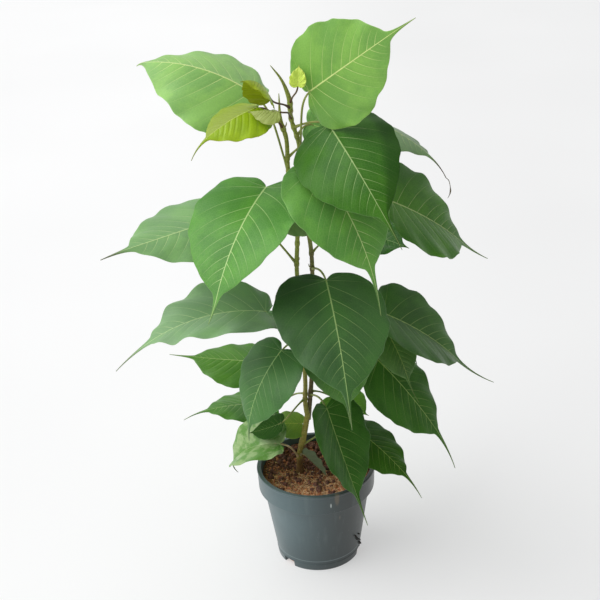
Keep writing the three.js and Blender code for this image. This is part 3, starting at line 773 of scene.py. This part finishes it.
# Withered scales at some joints: thin horns that leave the stem beside the petiole and bend up.
def addScales():
    t = np.linspace(0, 1, 9)[:, None]
    paths, radii = [], []
    for limb, joint, way, size in scales:
        out = np.array([np.sin(np.radians(way)), -np.cos(np.radians(way)), 0])
        paths.append(limbPoint(limb, joint) + size * (np.sin(1.9 * t) * 0.55 * out + t**1.4 * (0, 0, 0.8)))
        radii.append(1.1 * np.sqrt(1.02 - t[:, 0]) * size / 8)
    points, groups = joinedTubes(paths, radii, 7, (0.1, 0.2, 1))
    material = bitsMaterial("budScales", ("#b9b48c", "#8c8458"), 0.7, "dryLeaf")
    addPiece("budScales", points, groups, [material], None)


for row in leaves:
    addLeaf(row)
addCurl()
addScales()
print(f"{len(leaves)} leaves grown")

bark = {
    "sides": 30,
    "trunkRadius": 3.0,
    "flare": 1.9,
    "flareHeight": 6,
    "stemRadius": 2.4,
    "stemTop": 2.0,  # radius under the bud
    "budRadius": 0.35,
    "budStart": 0.87,  # by the stem's length
    "budSwell": 0.2,
    "forkSwell": 0.35,
    "forkHeight": 8,
    "knot": 0.55,  # how far a stem swells at a leaf's joint
    "knotReach": 2.6,
    "scar": 0.3,
    "scarBelow": 3.6,
    "scarReach": 0.7,
    "ridges": {"trunk": 0.34, "left": 0.13, "right": 0.16},
    "pores": "#b9a886",
    "shadow": (0.42, 0.38, 0.34, 1),  # what the streaks' colour is multiplied by
}
fork = (-6, 0.5, forkHeight - 9)
# For each limb: its line, its colour at the foot and at the top, where one gives way to the other,
# and how rough it is.
limbs = {
    "trunk": ([(-18.2, 0, soilTop - 4), *trunkLine], "#86603f", "#a59c4a", 100, 150, 0.72),
    "left": ([fork, *leftLine], "#9a9246", "#9da64c", 170, 380, 0.5),
    "right": ([fork, *rightLine], "#75664a", "#98a44a", 300, 450, 0.6),
}


# Lengthwise ridges that wind slowly: a sum of sines of the angle whose phases drift with height.
def barkRidges(height, sides, depth):
    angle = np.arange(sides)[None, :] * 2 * np.pi / sides
    waves = np.arange(2, 12)
    drift = dice.uniform(-1, 1, len(waves)) * 0.12
    phase = dice.uniform(0, 2 * np.pi, len(waves))
    size = dice.uniform(0.3, 1, len(waves)) / np.sqrt(waves)
    total = sum(s * np.sin(n * angle + d * height[:, None] + p) for n, d, p, s in zip(waves, drift, phase, size))
    fine = np.sin(1.9 * height[:, None] + 3 * np.sin(2 * angle + 0.2 * height[:, None]))
    return depth * (total / 1.6 + 0.25 * fine)


# A trunk's radius: even, with a flare that dies away above the soil.
def trunkTaper(t, height):
    above = np.clip(height - soilTop, 0, None)
    return bark["trunkRadius"] + bark["flare"] * np.exp(-above / bark["flareHeight"]) - 1.2 * (t > 0.995)


# A stem's radius: a straight taper that turns smoothly into the bud, with a swelling at the fork.
def stemTaper(t, height):
    body = bark["stemRadius"] + (bark["stemTop"] - bark["stemRadius"]) * t
    end = np.clip((t - bark["budStart"]) / (1 - bark["budStart"]), 0, 1)
    swollen = body * (1 + bark["budSwell"] * np.sin(np.pi * np.clip(end * 1.6, 0, 1)))
    smooth = end**2
    above = np.clip(height - forkHeight, 0, None)
    return (swollen * (1 - smooth) + bark["budRadius"] * smooth
            + bark["forkSwell"] * np.exp(-above / bark["forkHeight"]))


# A limb's radius is its taper, plus a bell at each leaf's joint and less a ring scar under it.
def addLimb(key, line, low, high, fromHeight, toHeight, rough):
    node = "trunk" if key == "trunk" else "stem_" + key
    taper = trunkTaper if key == "trunk" else stemTaper
    path = curveThrough(line, 460)
    height = path[:, 2]
    radius = taper(np.linspace(0, 1, len(path)), height)
    joints = np.array([row[2] for row in leaves if row[1] == key], float)
    away = height[:, None] - joints[None, :]
    radius = radius + bark["knot"] * np.exp(-((away / bark["knotReach"]) ** 2)).max(1)
    below = (away + bark["scarBelow"]) / bark["scarReach"]
    radius = radius - bark["scar"] * np.exp(-(below**2)).max(1)
    radius = radius[:, None] * np.ones(bark["sides"])
    thin = np.clip(radius[:, :1] / bark["stemRadius"], 0.15, 1.4)
    radius = radius + thin * barkRidges(height, bark["sides"], bark["ridges"][key])
    points, sides, ends = tube(path, radius, bark["sides"], (1, 0.15, 0))
    material = barkMaterial(key + "Bark", low, high, fromHeight, toHeight, rough)
    addPiece("bark" + key.capitalize(), points, [(sides, 0), (ends, 0)], [material], node)


# Bark whose colour changes with height, from low to high, with lengthwise streaks and pale pores.
def barkMaterial(name, low, high, fromHeight, toHeight, rough):
    material, tree, shader = startMaterial(name, {"Specular IOR Level": 0.35})
    place = objectPlace(tree)
    patches = noise(tree, place, 60, 3, 0.6)
    climb = ranged(tree, partOf(tree, place, "Z"), fromHeight * mm, toHeight * mm)
    climb = calculated(tree, "ADD", climb, ranged(tree, patches, 0.3, 0.7, -0.25, 0.25))
    colour = mixed(tree, ranged(tree, climb, 0, 1, smooth=True), tint(low), tint(high))
    streaks = noise(tree, placed(tree, place, scale=(1, 1, 0.14)), 700, 4, 0.65)
    dark = mixed(tree, 1.0, colour, bark["shadow"], "MULTIPLY")
    colour = mixed(tree, ranged(tree, streaks, 0.48, 0.72, 0, 0.75), colour, dark)
    pores = add(tree, "TexVoronoi", {}, {"Vector": placed(tree, place, scale=(1, 1, 0.6)), "Scale": 330.0})
    spots = ranged(tree, pores.outputs[0], 0.1, 0.22, 0.5, 0, smooth=True)
    colour = mixed(tree, spots, colour, tint(bark["pores"]))
    rings = add(tree, "TexWave", {"bands_direction": "Z"}, {
        "Vector": place, "Scale": 60.0, "Distortion": 3.0, "Detail": 2.0, "Detail Scale": 2.0,
    }).outputs["Fac"]
    colour = mixed(tree, ranged(tree, rings, 0.75, 1, 0, 0.3), colour, dark)
    relief = calculated(tree, "ADD", streaks, calculated(tree, "MULTIPLY", spots, 0.6))
    finish(tree, shader, colour, patches, (rough - 0.08, rough + 0.1), relief, 0.6, 0.3)
    return material


for key, limb in limbs.items():
    addLimb(key, *limb)
print("trunk and stems done")

pot = {
    "height": 110.0,
    "rim": 65.0,  # radius
    "lip": 2.4,  # height of the bead round the rim
    "lipStep": 0.6,
    "collar": 24.0,  # height of the wide band under the rim
    "collarStep": 5.3,
    "collarTaper": 1.2,
    "foot": 45.5,
    "footBand": 8.0,
    "footStep": 0.5,
    "slope": 0.8,  # height of each slope between two steps
    "round": 0.9,  # how far its corners are cut
    "sharp": 32,  # an edge that turns more than this stays sharp
    "wall": 1.8,
    "floor": 2.5,
    "draft": 3.7,
    "sides": 192,
    "notches": (-47, 73, 193),
    "notchWidth": 15.0,
    "notchHeight": 7.5,
    "notchDepth": 7.0,
    "drain": 4.0,
    "drainCircle": 27.0,
    "drains": 6,
}
# The pot's left and right colours are its slate grey painted as lit on the left and in shade on the right.
potSkin = {
    "left": "#536a6e",
    "right": "#1e2624",
    "turns": (-45, 40),  # from the painted light of the left side to the painted shade of the right one, by x
    "cloud": "#414f51",
    "low": "#2c3637",
    "lowTo": 70,
    "lime": "#7d8c8b",
    "grit": "#7d8683",
}
# Level lines on the plastic: height, half width, to where it has died out, strength and colour. The dark one just
# under the collar is a painted shadow of the collar's step.
potLines = [(12.6, 0.2, 0.8, 0.5, "#7f9294"), (84.2, 0.4, 1.3, 0.75, "#2c3a3b")]
# Marks on the plastic: their middle (with its height times markSquash), size, colour and strength.
markSquash = 0.3
potMarks = [
    ((13.7, -62.7, 29.1), 1.1, "#c3cbc9", 0.75),
    ((20.5, -61.3, 31.5), 3.6, "#8a7455", 0.33),
    ((22.5, -57.0, 25.5), 3.0, "#8a7455", 0.55),
    ((23.5, -53.0, 21.5), 2.0, "#a08a66", 0.5),
]
wallTop = pot["rim"] - pot["collarTaper"] - pot["collarStep"]
innerTop = wallTop - pot["wall"] + pot["draft"]
innerFoot = pot["foot"] - pot["wall"]


# The pot's outer wall is a cone, and so is its inner wall, which leans a little more.
def outerRadius(z):
    return pot["foot"] + (wallTop - pot["foot"]) * z / (pot["height"] - pot["collar"])


def innerRadius(z):
    return innerFoot + (innerTop - innerFoot) * (z - pot["floor"]) / (pot["height"] - pot["floor"])


# A profile whose corners are rounded by quadratic Bezier arcs that start cut mm from each corner.
def roundedProfile(corners, cut):
    corners = np.array(corners, float)
    before = unit(corners[:-2] - corners[1:-1])
    after = unit(corners[2:] - corners[1:-1])
    room = np.minimum(
        np.linalg.norm(corners[1:-1] - corners[:-2], axis=1), np.linalg.norm(corners[2:] - corners[1:-1], axis=1)
    )
    reach = np.minimum(cut, 0.45 * room)[:, None]
    a, b, c = corners[1:-1] + before * reach, corners[1:-1], corners[1:-1] + after * reach
    t = np.linspace(0, 1, 5)[:, None, None]
    arcs = ((1 - t) ** 2 * a + 2 * t * (1 - t) * b + t**2 * c).transpose(1, 0, 2).reshape(-1, 2)
    return np.vstack([corners[0], arcs, corners[-1]])


# Rings of a profile of (radius, height) turned about the upright axis, with a fan over each end.
def turned(profile, sides):
    angle = np.arange(sides) * 2 * np.pi / sides
    rings = np.stack([
        np.outer(profile[:, 0], np.cos(angle)), np.outer(profile[:, 0], np.sin(angle)),
        np.repeat(profile[:, 1:], sides, 1),
    ], -1).reshape(-1, 3)
    points = np.vstack([rings, (0, 0, profile[0, 1]), (0, 0, profile[-1, 1])])
    return points, gridFaces(len(profile), sides, closed=True), fans(len(profile), sides)


# A shape to cut with, which is not a piece of the part.
def cutter(name, points, groups):
    mesh = bpy.data.meshes.new(name)
    mesh.from_pydata((points * mm).tolist(), [], [f for faces in groups for f in faces.tolist()])
    return linked(name, mesh)


# Slate grey with painted light on the left and painted shade that darkens it to the right, darker towards the
# foot, with clouds, lime, grit, lines and marks.
def potPlastic():
    material, tree, shader = startMaterial("potPlastic", {
        "Specular IOR Level": 0.6, "Coat Weight": 0.2, "Coat Roughness": 0.25,
    })
    place = objectPlace(tree)
    height = partOf(tree, place, "Z")
    cloud = noise(tree, place, 16, 3, 0.6)
    drips = noise(tree, placed(tree, place, scale=(1, 1, 0.1)), 130, 4, 0.6)
    dust = noise(tree, place, 420, 3, 0.7)
    # painted light and shade: paler on the left, darker to the right
    shadedToRight = ranged(tree, partOf(tree, place, "X"), *(x * mm for x in potSkin["turns"]), smooth=True)
    colour = coated(tree, mixed(tree, shadedToRight, tint(potSkin["left"]), tint(potSkin["right"])), [
        (ranged(tree, cloud, 0.3, 0.7, 0, 0.3), potSkin["cloud"]),
        (ranged(tree, height, 0, potSkin["lowTo"] * mm, 0.45, 0.0, smooth=True), potSkin["low"]),
        (ranged(tree, drips, 0.55, 0.8, 0, 0.16), potSkin["lime"]),
    ])
    # the dark line just under the collar is a painted shadow of its step
    for level, near, far, strength, code in potLines:
        away = calculated(tree, "ABSOLUTE", calculated(tree, "SUBTRACT", height, level * mm))
        colour = mixed(tree, ranged(tree, away, near * mm, far * mm, strength, 0), colour, tint(code))
    grit = ranged(tree, dust, 0.66, 0.78, 0, 0.5, smooth=True)
    colour = mixed(tree, grit, colour, tint(potSkin["grit"]))
    squashed = placed(tree, place, scale=(1, 1, markSquash))
    for middle, size, code, strength in potMarks:
        ends = {0: squashed, 1: tuple(Vector(middle) * mm)}
        away = add(tree, "VectorMath", {"operation": "DISTANCE"}, ends).outputs["Value"]
        spot = ranged(tree, away, 0.4 * size * mm, size * mm, strength, 0, smooth=True)
        colour = mixed(tree, spot, colour, tint(code))
    finish(tree, shader, colour, cloud, (0.36, 0.5), dust, 0.12, 0.2)
    return material


# The pot is a rounded profile turned once round, cut by a box at each notch and a rod at each drain.
def addPot():
    top, collarFoot = pot["height"], pot["height"] - pot["collar"]
    lipFoot, slope = top - pot["lip"], pot["slope"]
    band = pot["footBand"]
    profile = roundedProfile([
        (2, 0), (pot["foot"] + pot["footStep"], 0),
        (outerRadius(band) + pot["footStep"], band), (outerRadius(band + slope), band + slope),
        (outerRadius(collarFoot - slope), collarFoot - slope),
        (outerRadius(collarFoot) + pot["collarStep"], collarFoot + slope / 2),
        (pot["rim"] - pot["lipStep"], lipFoot - slope), (pot["rim"], lipFoot),
        (pot["rim"], top), (innerTop, top), (innerFoot, pot["floor"]), (2, pot["floor"]),
    ], pot["round"])
    points, sides, ends = turned(profile, pot["sides"])
    body = addPiece("nurseryPot", points, [(sides, 0), (ends, 0)], [potPlastic()], "pot")
    cuts = []
    corner = np.array([(x, y, z) for z in (-1, 1) for y in (-1, 1) for x in (-1, 1)], float)
    boxFaces = np.array([(0, 2, 3, 1), (4, 5, 7, 6), (0, 1, 5, 4), (2, 6, 7, 3), (0, 4, 6, 2), (1, 3, 7, 5)])
    for degrees in pot["notches"]:
        at = np.radians(degrees - 90)
        x, y, z = (corner * (pot["notchDepth"], pot["notchWidth"] / 2, pot["notchHeight"]) + (pot["foot"], 0, 0)).T
        place = np.stack([x * np.cos(at) - y * np.sin(at), x * np.sin(at) + y * np.cos(at), z], -1)
        cuts.append(cutter("notchCut", place, [boxFaces]))
    for k in range(pot["drains"]):
        at = 2 * np.pi * k / pot["drains"]
        rod = np.array([(pot["drain"], -pot["floor"]), (pot["drain"], 2 * pot["floor"])])
        place, sides, ends = turned(rod, 32)
        place = place + (pot["drainCircle"] * np.cos(at), pot["drainCircle"] * np.sin(at), 0)
        cuts.append(cutter("drainCut", place, [sides, ends]))
    for cut in cuts:
        hollow = body.modifiers.new("cut", "BOOLEAN")
        hollow.object = cut
        hollow.operation = "DIFFERENCE"
        hollow.solver = "EXACT"
    bpy.context.view_layer.update()
    made = bpy.data.meshes.new_from_object(body.evaluated_get(bpy.context.evaluated_depsgraph_get()))
    body.modifiers.clear()
    body.data = made
    made.set_sharp_from_angle(angle=np.radians(pot["sharp"]))
    for cut in cuts:
        bpy.data.objects.remove(cut)


addPot()
print("pot done")

soil = {
    "gap": 0.4,
    "sink": 0.8,
    "rings": 90,
    "sides": 200,
    "lumps": ((1.1, 17), (0.9, 7.5), (0.6, 3.4)),  # height and size, in mm
    "flat": 9.0,  # stays level this far round the trunk
    "soft": 0.15,  # the share of the lumps that is left there
    "dark": "#3c2620",
    "bright": "#a0674f",
    "front": ("#eba97b", 0.65),  # a paler colour towards the front, and its share
}
lumpWaves = [
    (size, dice.uniform(0, 2 * np.pi, 6), dice.uniform(0, 2 * np.pi, 6), width) for size, width in soil["lumps"]
]


# Lumpy ground: for each size of lump, six plane waves in random directions are added up.
def soilHeight(x, y):
    total = np.zeros_like(x)
    for size, ways, phases, width in lumpWaves:
        for way, phase in zip(ways, phases):
            total += size * 0.35 * np.sin(2 * np.pi * (x * np.cos(way) + y * np.sin(way)) / width + phase)
    near = np.hypot(x - trunkLine[0][0], y)
    return soilTop - soil["sink"] + total * np.clip((near - 4) / soil["flat"], soil["soft"], 1)


# A turned fill whose upper rings are lifted to the lumpy ground.
def addSoil():
    edge = innerRadius(soilTop) - soil["gap"]
    bottom = pot["floor"] + soil["gap"]
    inner = np.linspace(0.6, edge, soil["rings"])
    profile = np.concatenate([
        np.stack([inner, np.full(soil["rings"], soilTop)], -1),
        [(edge - 0.4, soilTop - 6), (innerRadius(bottom) - soil["gap"], bottom), (1, bottom)],
    ])
    points, sides, ends = turned(profile, soil["sides"])
    x, y, z = points.T
    upper = (z > soilTop - 1) & (np.hypot(x, y) < edge - 0.1)
    points[:, 2] = np.where(upper, soilHeight(x, y), z)
    addPiece("soilBody", points, [(sides, 0), (ends, 0)], [soilMaterial()], "soil")


# Crumbs of many browns, paler towards the front.
def soilMaterial():
    material, tree, shader = startMaterial("compost", {"Specular IOR Level": 0.2})
    place = objectPlace(tree)
    crumbs = add(tree, "TexVoronoi", {}, {"Vector": place, "Scale": 420.0})
    cloud = noise(tree, place, 55, 3, 0.6)
    depth = calculated(tree, "ADD", partOf(tree, place, "Y"), calculated(tree, "MULTIPLY", cloud, 0.05))
    pale, share = soil["front"]
    tan = calculated(tree, "MULTIPLY", ranged(tree, depth, -12 * mm, 28 * mm, 1, 0), share)
    colour = mixed(tree, crumbs.outputs["Color"], tint(soil["dark"]), tint(soil["bright"]))
    colour = mixed(tree, tan, colour, tint(pale))
    finish(tree, shader, colour, cloud, (0.85, 1.0), crumbs.outputs["Distance"], 0.8, 1.0)
    return material


# Random places on the soil; lean above 0 crowds them to the front.
def soilPlaces(count, lean, margin):
    edge = innerRadius(soilTop) - soil["gap"] - margin
    radius = edge * np.sqrt(dice.uniform(0.002, 1, count * 3))
    way = dice.uniform(0, 2 * np.pi, count * 3)
    x, y = radius * np.cos(way), radius * np.sin(way)
    keep = dice.uniform(0, 1, count * 3) < 1 / (1 + np.exp(lean * (y + 8) / 9))
    keep &= np.hypot(x - trunkLine[0][0], y) > 6
    return x[keep][:count], y[keep][:count]


# Many bent rods: each is a parabola along its own direction, drawn as rings of a few points.
def rods(x, y, length, radius, rise, lift, sides=4, rings=6):
    count = len(x)
    way = dice.uniform(0, 2 * np.pi, count)
    ahead = np.stack([np.cos(way), np.sin(way), np.zeros(count)], -1)
    across = np.stack([-np.sin(way), np.cos(way), np.zeros(count)], -1)
    s = np.linspace(-1, 1, rings)
    curl = dice.uniform(-0.25, 0.25, count) * length
    tilt = dice.uniform(-rise, rise, count) * length
    centre = np.stack([x, y, soilHeight(x, y) + lift], -1)[:, None]
    path = (
        centre + ahead[:, None] * (s[None, :, None] * length[:, None, None] / 2)
        + across[:, None] * ((s**2)[None, :, None] * curl[:, None, None])
    )
    path[..., 2] += s[None, :] * tilt[:, None] - (s**2)[None, :] * 0.06 * length[:, None]
    angle = np.arange(sides) * 2 * np.pi / sides
    thick = radius[:, None, None, None] * (1 - 0.55 * s**4)[None, :, None, None]
    around, upward = np.cos(angle)[None, None, :, None], np.sin(angle)[None, None, :, None]
    ring = across[:, None, None] * around + np.array([0, 0, 1.0]) * upward
    points = (path[:, :, None] + thick * ring).reshape(count, -1, 3)
    grid = gridFaces(rings, sides, closed=True)
    ends = np.array([[3, 2, 1, 0], [0, 1, 2, 3]]) + np.array([[0], [(rings - 1) * sides]])
    faces = np.vstack([grid, ends])
    shift = (np.arange(count) * rings * sides)[:, None, None]
    return points.reshape(-1, 3), (faces[None] + shift).reshape(-1, 4)


# Many crumbs: an icosahedron each, stretched, jittered and turned at random.
def crumbs(x, y, size, squash, lift):
    golden = (1 + 5**0.5) / 2
    base = unit(np.array([
        (-1, golden, 0), (1, golden, 0), (-1, -golden, 0), (1, -golden, 0), (0, -1, golden), (0, 1, golden),
        (0, -1, -golden), (0, 1, -golden), (golden, 0, -1), (golden, 0, 1), (-golden, 0, -1), (-golden, 0, 1),
    ]))
    faces = np.array([
        (0, 11, 5), (0, 5, 1), (0, 1, 7), (0, 7, 10), (0, 10, 11), (1, 5, 9), (5, 11, 4), (11, 10, 2), (10, 7, 6),
        (7, 1, 8), (3, 9, 4), (3, 4, 2), (3, 2, 6), (3, 6, 8), (3, 8, 9), (4, 9, 5), (2, 4, 11), (6, 2, 10),
        (8, 6, 7), (9, 8, 1),
    ])
    count = len(x)
    turn = np.linalg.qr(dice.normal(size=(count, 3, 3)))[0]
    turn *= np.sign(np.linalg.det(turn))[:, None, None]
    stretch = dice.uniform(squash, 1, (count, 1, 3))
    shape = base[None] * stretch * dice.uniform(0.75, 1.2, (count, 12, 1)) * size[:, None, None]
    points = np.einsum("nij,nkj->nki", turn, shape)
    points += np.stack([x, y, soilHeight(x, y) + lift * size], -1)[:, None]
    return points.reshape(-1, 3), (faces[None] + (np.arange(count) * 12)[:, None, None]).reshape(-1, 3)


# One kind of crumb, scattered over the soil.
def addCrumbs(name, count, lean, low, high, squash, colours, rough):
    x, y = soilPlaces(count, lean, high)
    points, faces = crumbs(x, y, dice.uniform(low, high, len(x)), squash, 0.35)
    addPiece(name, points, [(faces, 0)], [bitsMaterial(name, colours, rough)], None)


# One kind of fibre, scattered over the soil.
def addFibres(name, count, lean, low, high, thick, rise, colours, rough=0.8):
    x, y = soilPlaces(count, lean, high / 2)
    points, faces = rods(x, y, dice.uniform(low, high, len(x)), dice.uniform(0.6, 1.2, len(x)) * thick, rise, 0.7)
    addPiece(name, points, [(faces, 0)], [bitsMaterial(name, colours, rough)], None)


roots = {
    "ends": ((52, 34), (55, 30), (57, 26), (61, 31), (64, 22), (67, 17), (70, 12)),  # angle and height
    "out": 2.4,
    "radius": (1.0, 0.3),
    "colours": ("#1d1a18", "#39302a"),
}


# Ends of roots that have grown out through the wall: thin rods that arch out and bend at random.
def addRoots():
    t = np.linspace(0, 1, 7)[:, None]
    paths = []
    for degrees, height in roots["ends"]:
        way = np.radians(degrees) - np.pi / 2
        out = np.array([np.cos(way), np.sin(way), 0])
        start = outerRadius(height) * out + (0, 0, height)
        bend = dice.uniform(-3, 3, 3) * (0.4, 0.4, 1.2)
        paths.append(start + (roots["out"] * np.sin(2.2 * t) - 0.4) * out + bend * t**1.5)
    radii = [np.linspace(*roots["radius"], 7)] * len(paths)
    points, groups = joinedTubes(paths, radii, 6, (0.1, 0.2, 1))
    addPiece("rootEnds", points, groups, [bitsMaterial("rootEnds", roots["colours"], 0.8)], None)


# Crumbs: name, count, how far they crowd to the front, least and greatest size, how flat, colours and
# roughness.
crumbKinds = [
    ("darkCrumbs", 500, -0.45, 1.3, 4.2, 0.5, ("#4a3530", "#8f6254"), 0.9),
    ("brownCrumbs", 750, 0.1, 0.6, 2.4, 0.5, ("#9c5b44", "#dd9670"), 0.85),
    ("tanCrumbs", 500, 1.1, 0.5, 1.5, 0.4, ("#f4b888", "#d8925f"), 0.85),
    ("perlite", 16, 0.2, 0.7, 1.3, 0.7, ("#e9e6df", "#cfcabf"), 0.8),
]
# Fibres: name, count, how far they crowd to the front, least and greatest length, thickness, how steep
# and colours.
fibreKinds = [
    ("tanFibres", 733, 1.2, 4, 12, 0.32, 0.22, ("#fbdcb4", "#ebb586")),
    ("brownFibres", 366, 0.0, 4, 12, 0.3, 0.2, ("#a3744f", "#7b543a")),
    ("paleStraws", 14, -0.1, 12, 22, 0.5, 0.12, ("#e6c796", "#cba673")),
]
addSoil()
addRoots()
for kind in crumbKinds:
    addCrumbs(*kind)
for kind in fibreKinds:
    addFibres(*kind)
print("soil done")

studio = {
    "floor": ("#b8b8b8", "#b5b5b5"),
    "floorFrom": (-9, -6),  # its corners, in metres
    "floorTo": (9, 14),
    "glow": 0.955,  # of the floor itself by its own shade, which keeps the shadows pale
    "farSide": 0.9,  # painted fall-off of light: how bright the floor is on the right by how bright it is on the left
    "sun": 2.2,
    "sunFrom": (-0.8, -0.15, 1.0),
    "sunWidth": 65,  # degrees, for soft shadows
    "air": (0.98, 0.99, 1.0, 1.0),
    "brightWall": (-0.65, 0.6, 0.45),  # the way the brightest side of the room lies
    "dimSide": 0.05,
    "brightSide": 0.85,
}


# A flat square that glows faintly by its own shade, and dims to the right in a painted fall-off of light.
def addFloor():
    (left, near), (right, far) = studio["floorFrom"], studio["floorTo"]
    mesh = bpy.data.meshes.new("floor")
    mesh.from_pydata([(left, near, 0), (right, near, 0), (right, far, 0), (left, far, 0)], [], [(0, 1, 2, 3)])
    material, tree, shader = startMaterial("paleFloor", {
        "Roughness": 0.9, "Specular IOR Level": 0.1, "Emission Strength": studio["glow"],
    })
    place = objectPlace(tree)
    patches = ranged(tree, noise(tree, place, 1.2, 2), 0.3, 0.7)
    shade = mixed(tree, patches, *(tint(code) for code in studio["floor"]))
    # painted fall-off of light, darker to the right
    paintedFalloff = ranged(tree, partOf(tree, place, "X"), -0.3, 0.5, 1, studio["farSide"], smooth=True)
    shade = add(tree, "VectorMath", {"operation": "SCALE"}, {"Vector": shade, "Scale": paintedFalloff}).outputs[0]
    tree.links.new(shade, shader.inputs["Base Color"])
    tree.links.new(shade, shader.inputs["Emission Color"])
    mesh.materials.append(material)
    floor = linked("floor", mesh)


# A wide, soft sun that shines from sunFrom.
def addSun():
    lamp = bpy.data.lights.new("window", "SUN")
    lamp.energy = studio["sun"]
    lamp.angle = np.radians(studio["sunWidth"])
    lit = linked("window", lamp)
    lit.rotation_euler = (-Vector(studio["sunFrom"])).to_track_quat("-Z", "Y").to_euler()


# The room's light grows evenly from its dim side to its bright one.
def addWorld():
    world = bpy.data.worlds.new("studio")
    world.use_nodes = True
    tree = world.node_tree
    background = tree.nodes["Background"]
    background.inputs["Color"].default_value = studio["air"]
    towards = add(tree, "TexCoord", {}, {}).outputs["Generated"]
    ways = {0: towards, 1: tuple(unit(np.array(studio["brightWall"])))}
    facing = add(tree, "VectorMath", {"operation": "DOT_PRODUCT"}, ways).outputs["Value"]
    light = ranged(tree, facing, -1, 1, studio["dimSide"], studio["brightSide"])
    tree.links.new(light, background.inputs["Strength"])
    bpy.context.scene.world = world


addFloor()
addWorld()
addSun()
bpy.context.scene.view_settings.view_transform = "Standard"
print("stage and light done")
